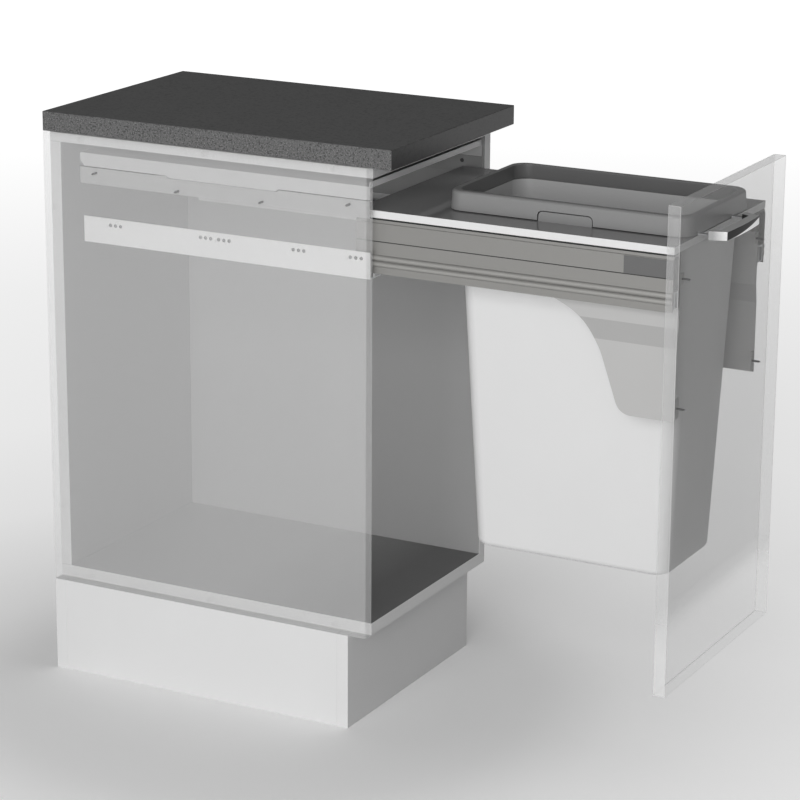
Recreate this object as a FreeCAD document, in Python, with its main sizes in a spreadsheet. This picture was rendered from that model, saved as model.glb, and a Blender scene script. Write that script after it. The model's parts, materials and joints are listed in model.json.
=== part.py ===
import FreeCAD, Part
import Sketcher
import math
import os

# A 400 mm base cabinet with a pull-out waste bin, shown with its drawer run right out.
# Millimetres. X to the right, Y to the back, Z up. The origin is on the floor, under the
# middle of the whole object with the drawer out.

os.makedirs("parts", exist_ok=True)
doc = FreeCAD.newDocument("pull_out_bin_cabinet")
sheet = doc.addObject("Spreadsheet::Sheet", "Sizes")


class Size:
    """A number together with the sheet expression it comes from."""

    def __init__(self, value, text=None):
        self.value = float(value)
        self.text = "{:.6g}".format(value) if text is None else text

    def __add__(self, other):
        other = as_size(other)
        return Size(self.value + other.value, "(%s + %s)" % (self.text, other.text))

    def __sub__(self, other):
        other = as_size(other)
        return Size(self.value - other.value, "(%s - %s)" % (self.text, other.text))

    def __mul__(self, other):
        other = as_size(other)
        return Size(self.value * other.value, "(%s * %s)" % (self.text, other.text))

    def __truediv__(self, other):
        other = as_size(other)
        return Size(self.value / other.value, "(%s / %s)" % (self.text, other.text))

    def __neg__(self):
        return Size(-self.value, "(0 - %s)" % self.text)

    def __radd__(self, other):
        return as_size(other) + self

    def __rsub__(self, other):
        return as_size(other) - self

    def __rmul__(self, other):
        return as_size(other) * self


def as_size(number):
    return number if isinstance(number, Size) else Size(number)


rows = []


def size(alias, value):
    """One driving dimension: a row of the sheet with its own name."""
    rows.append(alias)
    sheet.set("A%d" % len(rows), alias.replace("_", " "))
    sheet.set("B%d" % len(rows), "{:g}".format(value))
    sheet.setAlias("B%d" % len(rows), alias)
    return Size(value, "Sizes." + alias)


# ---- driving dimensions -------------------------------------------------------------------

# Carcass, worktop and plinth
carcass_width = size("carcass_width", 400)
carcass_depth = size("carcass_depth", 560)
carcass_height = size("carcass_height", 720)
board = size("board", 19)
plinth_height = size("plinth_height", 150)
plinth_setback = size("plinth_setback", 30)
block_side = size("block_side", 40)
block_height = size("block_height", 60)
worktop_thickness = size("worktop_thickness", 30)
worktop_overhang = size("worktop_overhang", 40)
dowel_radius = size("dowel_radius", 4)
dowel_in_side = size("dowel_in_side", 12)
dowel_in_board = size("dowel_in_board", 18)
dowel_inset = size("dowel_inset", 60)
bore_play = size("bore_play", 0.1)
bore_spare = size("bore_spare", 1)

# Front and drawer travel
front_width = size("front_width", 397)
front_height = size("front_height", 717)
front_thickness = size("front_thickness", 19)
front_lift = size("front_lift", 0.5)
front_gap = size("front_gap", 2)
drawer_stay = size("drawer_stay", 35)

# Runner: cabinet rail, middle rail and drawer rail, one inside the other
sheet_steel = size("sheet_steel", 1.5)
rail_height = size("rail_height", 40)
rail_setback = size("rail_setback", 4)
rail_back_room = size("rail_back_room", 40)
rail_lip = size("rail_lip", 16.5)
middle_width = size("middle_width", 17)
middle_height = size("middle_height", 24)
middle_short = size("middle_short", 7)
side_play = size("side_play", 0.3)
glide_play = size("glide_play", 0.2)
glide_thickness = size("glide_thickness", 1.3)
cabinet_glide_height = size("cabinet_glide_height", 6.6)
glide_length = size("glide_length", 40)
rail_hole_radius = size("rail_hole_radius", 2.8)
rail_hole_pitch = size("rail_hole_pitch", 9)
rail_hole_level = size("rail_hole_level", 29.8)
rail_first_hole = size("rail_first_hole", 28)
rail_last_hole = size("rail_last_hole", 57)
raster = size("raster", 32)

# Drawer sides
drawer_extra = size("drawer_extra", 3)
side_gap = size("side_gap", 9)
side_width = size("side_width", 25)
side_lift = size("side_lift", 8)
side_height = size("side_height", 80)
side_step = size("side_step", 1.2)
side_step_height = size("side_step_height", 5)
seat_height = size("seat_height", 2.5)
seat_width = size("seat_width", 20)
web_level = size("web_level", 28)
rib_height = size("rib_height", 9)
rib_depth = size("rib_depth", 2.5)
rib_low = size("rib_low", 14.7)
rib_high = size("rib_high", 23.9)
groove_level = size("groove_level", 47.4)
groove_width = size("groove_width", 1.4)
groove_depth = size("groove_depth", 0.8)
cover_length = size("cover_length", 75)
cover_thickness = size("cover_thickness", 0.6)
cover_height = size("cover_height", 25.5)
back_height = size("back_height", 74)
back_flange = size("back_flange", 12)
back_rivet_inset = size("back_rivet_inset", 18)

# Carrier plate, bin and bag ring
plate_thickness = size("plate_thickness", 11)
plate_overlap = size("plate_overlap", 1)
plate_play = size("plate_play", 1.5)
bin_width = size("bin_width", 214)
bin_length = size("bin_length", 363)
bin_height = size("bin_height", 515.5)
bin_front_gap = size("bin_front_gap", 10)
bin_side_draft = size("bin_side_draft", 19)
bin_front_draft = size("bin_front_draft", 22)
bin_back_draft = size("bin_back_draft", 29)
bin_corner = size("bin_corner", 36)
bin_foot_corner = size("bin_foot_corner", 29)
bin_wall = size("bin_wall", 2.5)
bin_collar = size("bin_collar", 8.5)
bin_flange = size("bin_flange", 7)
bin_end_flange = size("bin_end_flange", 5)
bin_flange_height = size("bin_flange_height", 3)
lug_length = size("lug_length", 84)
lug_height = size("lug_height", 14.5)
lug_reach = size("lug_reach", 2)
ring_overlap = size("ring_overlap", 11)
ring_end_overlap = size("ring_end_overlap", 9)
ring_height = size("ring_height", 30)
ring_draft = size("ring_draft", 1.5)
ring_wall = size("ring_wall", 2.5)
ring_corner = size("ring_corner", 26)
ring_play = size("ring_play", 0.5)
ring_headroom = size("ring_headroom", 6.2)
notch_play = size("notch_play", 1.5)
notch_corner = size("notch_corner", 8)

# Front brackets
bracket_sheet = size("bracket_sheet", 2)
bracket_top = size("bracket_top", 51)
bracket_fold_high = size("bracket_fold_high", 29)
bracket_fold_low = size("bracket_fold_low", 57)
bracket_offset = size("bracket_offset", 4)
bracket_drop = size("bracket_drop", 163.5)
bracket_reach = size("bracket_reach", 205)
bracket_shoulder = size("bracket_shoulder", 1.4)
bracket_bend_reach = size("bracket_bend_reach", 130)
bracket_bend_drop = size("bracket_bend_drop", 35.2)
bracket_toe_reach = size("bracket_toe_reach", 85.5)
bracket_cove = size("bracket_cove", 120)
bracket_toe_radius = size("bracket_toe_radius", 25)
tab_width = size("tab_width", 14)
low_tab_height = size("low_tab_height", 30)
low_tab_rise = size("low_tab_rise", 3.5)
high_tab_height = size("high_tab_height", 16)
high_tab_level = size("high_tab_level", 34.4)
bracket_rivet_level = size("bracket_rivet_level", 13)
bracket_rivet_front = size("bracket_rivet_front", 40)
bracket_rivet_spacing = size("bracket_rivet_spacing", 120)

# Lid and its brackets
lid_level = size("lid_level", 12.3)
lid_setback = size("lid_setback", 5)
lid_back_room = size("lid_back_room", 54)
lid_lip = size("lid_lip", 2.5)
lid_upstand = size("lid_upstand", 6.7)
lid_wall_gap = size("lid_wall_gap", 0.5)
lid_depth = size("lid_depth", 47.2)
lid_bracket_height = size("lid_bracket_height", 26.5)
lid_step = size("lid_step", 3.5)
lid_step_start = size("lid_step_start", 153)
lid_step_back = size("lid_step_back", 154)
lid_chamfer = size("lid_chamfer", 8)
lid_screw_high = size("lid_screw_high", 17.9)
lid_screw_low = size("lid_screw_low", 5.5)
lid_screw_front = size("lid_screw_front", 33.5)
lid_screw_back = size("lid_screw_back", 29)

# Handle
handle_left = size("handle_left", 97)
handle_span = size("handle_span", 139)
handle_drop = size("handle_drop", 55)
handle_height = size("handle_height", 13)
handle_projection = size("handle_projection", 27.5)
handle_bow = size("handle_bow", 2.5)
handle_bar = size("handle_bar", 12.5)
handle_leg = size("handle_leg", 13)
handle_flare = size("handle_flare", 9)
handle_crotch = size("handle_crotch", 10)

# Screws and rivets
screw_radius = size("screw_radius", 1.75)
screw_head_radius = size("screw_head_radius", 3)
screw_head = size("screw_head", 1.8)
screw_bite = size("screw_bite", 13)
screw_recess = size("screw_recess", 2.2)
long_screw_radius = size("long_screw_radius", 2)
worktop_screw_side = size("worktop_screw_side", 120)
worktop_screw_end = size("worktop_screw_end", 80)
plate_screw_front = size("plate_screw_front", 30)
plate_screw_back = size("plate_screw_back", 40)
rivet_radius = size("rivet_radius", 2)
rivet_head_radius = size("rivet_head_radius", 3.5)
rivet_head = size("rivet_head", 1)

doc.recompute()

# ---- places worked out from them ----------------------------------------------------------

rail_length = carcass_depth - board - rail_back_room - rail_setback
middle_length = rail_length - middle_short
drawer_length = rail_length + drawer_extra
travel = drawer_length - drawer_stay

half_width = carcass_width / 2
inner_wall = half_width - board
carcass_top = plinth_height + carcass_height
open_front = front_gap + travel
reach = open_front + front_thickness + handle_projection
front_line = (reach - carcass_depth) / 2      # where the carcass's front plane lies
panel_inside = -open_front                    # the drawer front's inner face, drawer out
panel_outside = panel_inside - front_thickness

# From the lid down: ring, carrier plate, drawer side, runner
lid_top = carcass_top - board - lid_level
lid_length = carcass_depth - lid_setback - lid_back_room
lid_back = lid_setback + lid_length
lid_base = lid_top - lid_depth
lid_flange_bottom = lid_base + lid_bracket_height
ring_top = lid_top - ring_headroom
plate_top = ring_top - ring_height
plate_bottom = plate_top - plate_thickness
side_top = plate_bottom - seat_height
side_z = side_top - side_height

rail_bottom = side_z - side_lift
rail_floor = rail_bottom + sheet_steel
rail_hole_z = rail_bottom + rail_hole_level
middle_bottom = rail_floor + cabinet_glide_height + glide_play
middle_floor = middle_bottom + sheet_steel
drawer_rail_bottom = middle_floor + glide_thickness + glide_play

side_outer = inner_wall - side_gap
side_inner = side_outer - side_width
web_z = side_z + web_level
drawer_back_y = panel_inside + drawer_length
middle_x = (side_outer + side_inner) / 2
middle_low = middle_x - middle_width / 2
middle_high = middle_x + middle_width / 2
middle_front = rail_setback - travel / 2

bin_front = panel_inside + bin_front_gap
bin_back = bin_front + bin_length
bin_middle = (bin_front + bin_back) / 2
bin_half = bin_width / 2
bin_bottom = plate_top - bin_height
collar_top = plate_top + bin_collar

handle_top = plinth_height + front_lift + front_height - handle_drop
handle_bottom = handle_top - handle_height
handle_middle = (handle_top + handle_bottom) / 2


# ---- ways of making a piece ---------------------------------------------------------------

pieces = []


def bind(thing, name, amount):
    thing.setExpression(name, as_size(amount).text)


def keep(thing, label):
    """Marks a finished sub-part, whose label names its file."""
    thing.Label = label
    pieces.append(thing)
    return thing


def block(x, y, z):
    """A box between two corners; y is counted from the carcass's front plane."""
    box = doc.addObject("Part::Box", "block")
    for name, (low, high) in zip(("Length", "Width", "Height"), (x, y, z)):
        bind(box, name, as_size(high) - low)
    bind(box, "Placement.Base.x", x[0])
    bind(box, "Placement.Base.y", front_line + y[0])
    bind(box, "Placement.Base.z", z[0])
    return box


turns = {
    "+x": FreeCAD.Rotation(FreeCAD.Vector(0, 1, 0), 90),
    "-x": FreeCAD.Rotation(FreeCAD.Vector(0, 1, 0), -90),
    "+y": FreeCAD.Rotation(FreeCAD.Vector(1, 0, 0), -90),
    "-y": FreeCAD.Rotation(FreeCAD.Vector(1, 0, 0), 90),
    "+z": FreeCAD.Rotation(),
    "-z": FreeCAD.Rotation(FreeCAD.Vector(1, 0, 0), 180),
}


def rod(radius, length, way, x, y, z):
    """A cylinder that starts at a point and runs the given way."""
    cylinder = doc.addObject("Part::Cylinder", "rod")
    cylinder.Placement = FreeCAD.Placement(FreeCAD.Vector(), turns[way])
    bind(cylinder, "Radius", radius)
    bind(cylinder, "Height", length)
    bind(cylinder, "Placement.Base.x", x)
    bind(cylinder, "Placement.Base.y", front_line + y)
    bind(cylinder, "Placement.Base.z", z)
    return cylinder


def group(members):
    compound = doc.addObject("Part::Compound", "group")
    compound.Links = members
    return compound


def cut(base, tools):
    result = doc.addObject("Part::Cut", "cut")
    result.Base = base
    result.Tool = tools[0] if len(tools) == 1 else group(tools)
    return result


def fuse(members):
    result = doc.addObject("Part::MultiFuse", "fuse")
    result.Shapes = members
    return result


def common(first, second):
    result = doc.addObject("Part::MultiCommon", "common")
    result.Shapes = [first, second]
    return result


def origin_plane(body, role):
    return next(feature for feature in body.Origin.OriginFeatures if feature.Role == role)


def draw_loop(sketch, points):
    """A closed run of straight lines whose corners are held by the sheet."""
    first = sketch.GeometryCount
    count = len(points)
    for step in range(count):
        ends = [FreeCAD.Vector(as_size(u).value, as_size(v).value, 0)
                for u, v in (points[step], points[(step + 1) % count])]
        sketch.addGeometry(Part.LineSegment(*ends), False)
    for step in range(count):
        following = first + (step + 1) % count
        sketch.addConstraint(Sketcher.Constraint("Coincident", first + step, 2, following, 1))
    for step, corner in enumerate(points):
        for kind, amount, axis in (("DistanceX", corner[0], -2), ("DistanceY", corner[1], -1)):
            amount = as_size(amount)
            if abs(amount.value) < 1e-9:
                sketch.addConstraint(Sketcher.Constraint("PointOnObject", first + step, 1, axis))
                continue
            rule = Sketcher.Constraint(kind, -1, 1, first + step, 1, amount.value)
            held = sketch.addConstraint(rule)
            sketch.setExpression("Constraints[%d]" % held, amount.text)


def profile(plane, loops, start, length, rounds=()):
    """A section drawn on an origin plane and pushed along that plane's axis.

    rounds lists (radius, test) pairs: the edges that pass the test are filleted.
    """
    body = doc.addObject("PartDesign::Body", "body")
    sketch = body.newObject("Sketcher::SketchObject", "section")
    sketch.AttachmentSupport = (origin_plane(body, plane + "_Plane"), [""])
    sketch.MapMode = "FlatFace"
    backwards = plane == "XZ"
    bind(sketch, "AttachmentOffset.Base.z", -as_size(start) if backwards else start)
    for points in loops:
        draw_loop(sketch, points)
    pad = body.newObject("PartDesign::Pad", "pad")
    pad.Profile = sketch
    pad.Reversed = backwards
    bind(pad, "Length", length)
    doc.recompute()
    for radius, test in rounds:
        round_edges(body, radius, test)
    bind(body, "Placement.Base.y", front_line)
    doc.recompute()
    return body


def round_edges(body, radius, test):
    base = body.Tip
    names = ["Edge%d" % (index + 1) for index, edge in enumerate(base.Shape.Edges) if test(edge)]
    fillet = body.newObject("PartDesign::Fillet", "round")
    fillet.Base = (base, names)
    bind(fillet, "Radius", radius)
    doc.recompute()


def runs_along(edge, axis):
    """True for a straight edge along one axis (0, 1 or 2)."""
    if not isinstance(edge.Curve, Part.Line):
        return False
    way = edge.tangentAt(edge.FirstParameter)
    return abs(abs(way[axis]) - 1) < 1e-6


def shrink(pair, amount):
    return (pair[0] + amount, pair[1] - amount)


def rectangle(x, y):
    return [(x[0], y[0]), (x[1], y[0]), (x[1], y[1]), (x[0], y[1])]


def draw_rounded(sketch, x, y, radius):
    """A rectangle whose corners are quarter rounds, all held by the sheet."""
    x_in, y_in = shrink(x, radius), shrink(y, radius)
    centres = [(x_in[0], y_in[0]), (x_in[1], y_in[0]), (x_in[1], y_in[1]), (x_in[0], y_in[1])]
    reach_out = as_size(radius).value
    rounds = []
    for step, (u, v) in enumerate(centres):
        middle = FreeCAD.Vector(as_size(u).value, as_size(v).value, 0)
        circle = Part.Circle(middle, FreeCAD.Vector(0, 0, 1), reach_out)
        start = math.pi * (1 + step / 2)
        arc = Part.ArcOfCircle(circle, start, start + math.pi / 2)
        rounds.append((sketch.addGeometry(arc, False), arc, u, v))
    for step in range(4):
        arc_index, arc = rounds[step][:2]
        next_index, next_arc = rounds[(step + 1) % 4][:2]
        line = sketch.addGeometry(Part.LineSegment(arc.EndPoint, next_arc.StartPoint), False)
        sketch.addConstraint(Sketcher.Constraint("Tangent", line, 1, arc_index, 2))
        sketch.addConstraint(Sketcher.Constraint("Tangent", line, 2, next_index, 1))
    for index, arc, u, v in rounds:
        for kind, amount, axis in (("DistanceX", u, -2), ("DistanceY", v, -1)):
            rule = Sketcher.Constraint(kind, -1, 1, index, 3, as_size(amount).value)
            held = sketch.addConstraint(rule)
            sketch.setExpression("Constraints[%d]" % held, as_size(amount).text)
        held = sketch.addConstraint(Sketcher.Constraint("Radius", index, reach_out))
        sketch.setExpression("Constraints[%d]" % held, as_size(radius).text)


def tapered(low_z, low, low_corner, high_z, high, high_corner):
    """A block between two level rectangles with rounded corners."""
    body = doc.addObject("PartDesign::Body", "body")
    sections = []
    for level, (x, y), corner in ((low_z, low, low_corner), (high_z, high, high_corner)):
        sketch = body.newObject("Sketcher::SketchObject", "section")
        sketch.AttachmentSupport = (origin_plane(body, "XY_Plane"), [""])
        sketch.MapMode = "FlatFace"
        bind(sketch, "AttachmentOffset.Base.z", level)
        draw_rounded(sketch, x, y, corner)
        sections.append(sketch)
    doc.recompute()
    loft = body.newObject("PartDesign::AdditiveLoft", "loft")
    loft.Profile = sections[0]
    loft.Sections = [sections[1]]
    loft.Ruled = True
    bind(body, "Placement.Base.y", front_line)
    doc.recompute()
    return body


def screw(way, x, y, z, head_way, bite=screw_bite, radius=screw_radius):
    """A pan-head screw: the shank bites one way from the seat, the head stands the other."""
    return fuse([rod(radius, bite, way, x, y, z),
                 rod(screw_head_radius, screw_head, head_way, x, y, z)])


def both_sides(make):
    """Makes a piece for the left (-1) and the right (+1) side."""
    for side, word in ((-1, "left"), (1, "right")):
        make(side, word)


def span(side, near, far):
    """The x range between two distances from the middle plane, on one side of it."""
    return (-as_size(far), -as_size(near)) if side < 0 else (near, far)


def inward(side):
    return "+x" if side < 0 else "-x"


def outward(side):
    return "-x" if side < 0 else "+x"


# ---- carcass ------------------------------------------------------------------------------

dowel_rows_y = [dowel_inset, carcass_depth / 2, carcass_depth - dowel_inset]
dowel_levels = [plinth_height + board / 2, carcass_top - board / 2]
back_levels = [plinth_height + dowel_inset * 2, carcass_top - dowel_inset * 2]
back_y = carcass_depth - board / 2
dowel_places = [(y, z) for z in dowel_levels for y in dowel_rows_y]
dowel_places += [(back_y, z) for z in back_levels]
dowel_hole = dowel_radius + bore_play

rail_groups = [rail_first_hole + raster * steps for steps in (0, 3, 7, 8)]
rail_groups.append(rail_setback + rail_length - rail_last_hole)
rail_screws_y = [rail_groups[index] + rail_hole_pitch for index in (0, 2, 4)]
lid_screw_step = (lid_length - lid_screw_front - lid_screw_back) / 3
lid_screws = [(lid_screw_front + lid_screw_step * steps, level) for steps, level in
              enumerate((lid_screw_high, lid_screw_low, lid_screw_low, lid_screw_high))]
screw_hole = screw_radius + bore_play
worktop_screw_places = [(worktop_screw_side * side, y) for side in (-1, 1)
                        for y in (worktop_screw_end, carcass_depth - worktop_screw_end)]


def side_panel(side, word):
    panel = block(span(side, inner_wall, half_width), (0, carcass_depth),
                  (plinth_height, carcass_top))
    face = inner_wall * side
    holes = [rod(dowel_hole, dowel_in_side + bore_spare, outward(side), face, y, z)
             for y, z in dowel_places]
    holes += [rod(screw_hole, screw_bite + bore_spare, outward(side), face, y, rail_hole_z)
              for y in rail_screws_y]
    holes += [rod(screw_hole, screw_bite + bore_spare, outward(side), face, lid_setback + y,
                  lid_base + level)
              for y, level in lid_screws]
    keep(cut(panel, holes), "side_panel_" + word)


both_sides(side_panel)


def end_holes(y, z):
    """The dowel holes in both ends of a board that lies between the sides."""
    return [rod(dowel_hole, dowel_in_board + bore_spare, inward(side), inner_wall * side, y, z)
            for side in (-1, 1)]


block_places = [(side, y) for side in (-1, 1)
                for y in (plinth_setback + board, carcass_depth - board - block_side)]


def block_centre(side, y):
    return (inner_wall - block_side / 2) * side, y + block_side / 2


plinth_screw_hole = long_screw_radius + bore_play
bottom = block((-inner_wall, inner_wall), (0, carcass_depth), (plinth_height, plinth_height + board))
bottom_holes = [hole for y in dowel_rows_y for hole in end_holes(y, dowel_levels[0])]
for side, y in block_places:
    centre_x, centre_y = block_centre(side, y)
    bottom_holes.append(rod(plinth_screw_hole, screw_bite + bore_spare, "+z",
                            centre_x, centre_y, plinth_height))
keep(cut(bottom, bottom_holes), "bottom_panel")

top_z = carcass_top - board
top = block((-inner_wall, inner_wall), (0, carcass_depth), (top_z, carcass_top))
top_holes = [hole for y in dowel_rows_y for hole in end_holes(y, dowel_levels[1])]
for x, y in worktop_screw_places:
    top_holes.append(rod(plinth_screw_hole, board, "+z", x, y, top_z))
    top_holes.append(rod(screw_head_radius + bore_play, screw_head + bore_play, "+z", x, y, top_z))
keep(cut(top, top_holes), "top_panel")

back = block((-inner_wall, inner_wall), (carcass_depth - board, carcass_depth),
             (plinth_height + board, top_z))
keep(cut(back, [hole for z in back_levels for hole in end_holes(back_y, z)]), "back_panel")

dowels = [rod(dowel_radius, dowel_in_side + dowel_in_board, inward(side),
              (inner_wall + dowel_in_side) * side, y, z)
          for side in (-1, 1) for y, z in dowel_places]
keep(group(dowels), "carcass_dowels")

worktop = block((-half_width, half_width), (-worktop_overhang, carcass_depth),
                (carcass_top, carcass_top + worktop_thickness))
keep(cut(worktop, [rod(plinth_screw_hole, screw_bite + bore_spare, "+z", x, y, carcass_top)
                   for x, y in worktop_screw_places]), "worktop")
keep(group([fuse([rod(long_screw_radius, board - screw_head + screw_bite, "+z",
                      x, y, top_z + screw_head),
                  rod(screw_head_radius, screw_head, "+z", x, y, top_z)])
            for x, y in worktop_screw_places]), "worktop_screws")

# ---- plinth -------------------------------------------------------------------------------

plinth_front = (plinth_setback, plinth_setback + board)
plinth_back = (carcass_depth - board, carcass_depth)
whole_width = (-half_width, half_width)
plinth_rise = (0, plinth_height)
keep(block(whole_width, plinth_front, plinth_rise), "plinth_front")
keep(block(whole_width, plinth_back, plinth_rise), "plinth_back")


def plinth_side(side, word):
    keep(block(span(side, inner_wall, half_width), (plinth_front[1], plinth_back[0]),
               plinth_rise), "plinth_side_" + word)


both_sides(plinth_side)

blocks = []
block_screws = []
for side, y in block_places:
    centre_x, centre_y = block_centre(side, y)
    wood = block(span(side, inner_wall - block_side, inner_wall), (y, y + block_side),
                 (plinth_height - block_height, plinth_height))
    blocks.append(cut(wood, [rod(plinth_screw_hole, block_height, "+z", centre_x, centre_y,
                                 plinth_height - block_height)]))
    block_screws.append(screw("+z", centre_x, centre_y, plinth_height - block_height, "-z",
                              block_height + screw_bite, long_screw_radius))
keep(group(blocks), "plinth_blocks")
keep(group(block_screws), "plinth_screws")

# ---- runners ------------------------------------------------------------------------------

lip_near = middle_low - side_play
lip_far = middle_high + side_play


def cabinet_rail(side, word):
    web = inner_wall - sheet_steel
    lip_top = rail_bottom + rail_lip
    section = [(inner_wall, rail_bottom + rail_height), (inner_wall, rail_bottom),
               (lip_near - sheet_steel, rail_bottom), (lip_near - sheet_steel, lip_top),
               (lip_near, lip_top), (lip_near, rail_floor), (lip_far, rail_floor),
               (lip_far, lip_top), (lip_far + sheet_steel, lip_top),
               (lip_far + sheet_steel, rail_floor), (web, rail_floor),
               (web, rail_bottom + rail_height)]
    rail = profile("XZ", [[(x * side, z) for x, z in section]], rail_setback, rail_length)
    holes = [rod(rail_hole_radius, sheet_steel * 3, outward(side), (web - sheet_steel) * side,
                 y + step * rail_hole_pitch, rail_hole_z)
             for y in rail_groups for step in (-1, 0, 1)]
    keep(cut(rail, holes), "cabinet_rail_" + word)


both_sides(cabinet_rail)
keep(group([screw(outward(side), (inner_wall - sheet_steel) * side, y, rail_hole_z, inward(side),
                  screw_bite + sheet_steel)
            for side in (-1, 1) for y in rail_screws_y]), "rail_screws")

cabinet_glide_starts = [rail_setback + 1, 200]
keep(group([block(span(side, middle_low, middle_high), (y, y + glide_length),
                  (rail_floor, rail_floor + cabinet_glide_height))
            for side in (-1, 1) for y in cabinet_glide_starts]), "cabinet_glides")

middle_glide_starts = [1, 168]


def middle_rail(side, word):
    inner_low = middle_low + sheet_steel
    inner_high = middle_high - sheet_steel
    middle_top = middle_bottom + middle_height
    section = [(middle_low, middle_bottom), (middle_high, middle_bottom),
               (middle_high, middle_top), (inner_high, middle_top), (inner_high, middle_floor),
               (inner_low, middle_floor), (inner_low, middle_top), (middle_low, middle_top)]
    keep(profile("XZ", [[(x * side, z) for x, z in section]], middle_front, middle_length),
         "middle_rail_" + word)
    keep(group([block(span(side, inner_low + glide_play, inner_high - glide_play),
                      (middle_front + y, middle_front + y + glide_length),
                      (middle_floor, middle_floor + glide_thickness))
                for y in middle_glide_starts]), "middle_glides_" + word)
    near = inner_low + side_play
    far = inner_high - side_play
    tube = [(near, drawer_rail_bottom), (far, drawer_rail_bottom), (far, web_z), (near, web_z)]
    hollow = [(near + sheet_steel, drawer_rail_bottom + sheet_steel),
              (far - sheet_steel, drawer_rail_bottom + sheet_steel),
              (far - sheet_steel, web_z - sheet_steel), (near + sheet_steel, web_z - sheet_steel)]
    loops = [[(x * side, z) for x, z in loop] for loop in (tube, hollow)]
    keep(profile("XZ", loops, panel_inside, middle_length), "drawer_rail_" + word)


both_sides(middle_rail)

# ---- drawer sides, back and covers --------------------------------------------------------

rivet_hole = rivet_radius + bore_play
back_top = side_top
back_bottom = side_top - back_height
back_rivet_levels = [back_bottom + back_rivet_inset, back_top - back_rivet_inset]
back_rivet_y = drawer_back_y - back_flange / 2
bracket_rivet_y = [panel_inside + bracket_rivet_front,
                   panel_inside + bracket_rivet_front + bracket_rivet_spacing]
bracket_rivet_z = side_z + bracket_rivet_level
plate_screw_y = [panel_inside + plate_screw_front, drawer_back_y - plate_screw_back]
plate_screw_x = side_inner + seat_width / 2


def rib(level):
    """A rounded rib on the outer face, as the corners of a flattened arc."""
    arc = []
    for step in range(7):
        angle = math.pi * step / 6
        out = rib_depth * math.sin(angle)
        along = side_z + level - rib_height / 2 * math.cos(angle)
        arc.append((side_outer + out, along))
    return arc


def drawer_side(side, word):
    groove_z = side_z + groove_level
    step_z = side_top - side_step_height
    skin = side_outer - sheet_steel
    wall = side_inner + sheet_steel
    outline = [(side_outer, side_z)] + rib(rib_low) + rib(rib_high)
    outline += [(side_outer, groove_z), (side_outer - groove_depth, groove_z),
                (side_outer - groove_depth, groove_z + groove_width),
                (side_outer, groove_z + groove_width), (side_outer, step_z),
                (side_outer - side_step, step_z + side_step / 2),
                (side_outer - side_step, side_top), (side_inner + seat_width, side_top),
                (side_inner + seat_width, plate_bottom), (side_inner, plate_bottom),
                (side_inner, side_z), (wall, side_z), (wall, web_z), (skin, web_z),
                (skin, side_z)]
    room_top = side_top - sheet_steel
    room = [(wall, web_z + sheet_steel), (skin, web_z + sheet_steel),
            (skin, step_z - sheet_steel), (skin - side_step, step_z),
            (skin - side_step, room_top), (wall, room_top)]
    loops = [[(x * side, z) for x, z in loop] for loop in (outline, room)]
    shell = profile("XZ", loops, panel_inside, drawer_length)
    holes = [rod(rivet_hole, sheet_steel * 3, outward(side), (side_inner - sheet_steel) * side,
                 y, bracket_rivet_z) for y in bracket_rivet_y]
    holes += [rod(rivet_hole, sheet_steel * 3, outward(side), (side_inner - sheet_steel) * side,
                  back_rivet_y, z) for z in back_rivet_levels]
    holes += [rod(plinth_screw_hole, sheet_steel * 2 + seat_height, "+z", plate_screw_x * side, y,
                  room_top - sheet_steel) for y in plate_screw_y]
    keep(cut(shell, holes), "drawer_side_" + word)
    cover_z = groove_z + groove_width
    keep(block(span(side, side_outer, side_outer + cover_thickness),
               (panel_inside, panel_inside + cover_length), (cover_z, cover_z + cover_height)),
         "side_cover_" + word)


both_sides(drawer_side)

back_front = drawer_back_y - back_flange
web = block((-side_inner, side_inner), (drawer_back_y - sheet_steel, drawer_back_y),
            (back_bottom, back_top))
flanges = [block(span(side, side_inner - sheet_steel, side_inner),
                 (back_front, drawer_back_y), (back_bottom, back_top)) for side in (-1, 1)]
rims = [block((-side_inner, side_inner), (back_front, drawer_back_y), (z, z + sheet_steel))
        for z in (back_bottom, back_top - sheet_steel)]
rivet_bores = [rod(rivet_hole, sheet_steel * 3, outward(side), (side_inner - sheet_steel * 2) * side,
                   back_rivet_y, z) for side in (-1, 1) for z in back_rivet_levels]
keep(cut(fuse([web] + flanges + rims), rivet_bores), "drawer_back")


def rivet(side, inner_face, thickness, y, z):
    """A blind rivet along x: its flat head is on the inside, its upset end on the far side."""
    shank = rod(rivet_radius, thickness, outward(side), inner_face * side, y, z)
    head = rod(rivet_head_radius, rivet_head, inward(side), inner_face * side, y, z)
    upset = rod(rivet_head_radius, rivet_head, outward(side), (inner_face + thickness) * side, y, z)
    return fuse([shank, head, upset])


keep(group([rivet(side, side_inner - sheet_steel, sheet_steel * 2, back_rivet_y, z)
            for side in (-1, 1) for z in back_rivet_levels]), "drawer_back_rivets")

# ---- carrier plate ------------------------------------------------------------------------

plate_half = side_outer - plate_overlap
opening_x = (-bin_half - plate_play, bin_half + plate_play)
opening_y = (bin_front - plate_play, bin_back + plate_play)
slab = block((-plate_half, plate_half), (panel_inside, drawer_back_y), (plate_bottom, plate_top))
opening = profile("XY", [rectangle(opening_x, opening_y)], plate_bottom - 1, plate_thickness + 2,
                  [(bin_corner, lambda edge: runs_along(edge, 2))])
plate_bores = [rod(plinth_screw_hole, plate_thickness * 0.75, "+z", plate_screw_x * side, y,
                   plate_bottom) for side in (-1, 1) for y in plate_screw_y]
keep(cut(slab, [opening] + plate_bores), "carrier_plate")
plate_screw_seat = side_top - sheet_steel
keep(group([screw("+z", plate_screw_x * side, y, plate_screw_seat, "-z",
                  sheet_steel + seat_height + plate_thickness * 0.6, long_screw_radius)
            for side in (-1, 1) for y in plate_screw_y]), "plate_screws")

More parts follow.
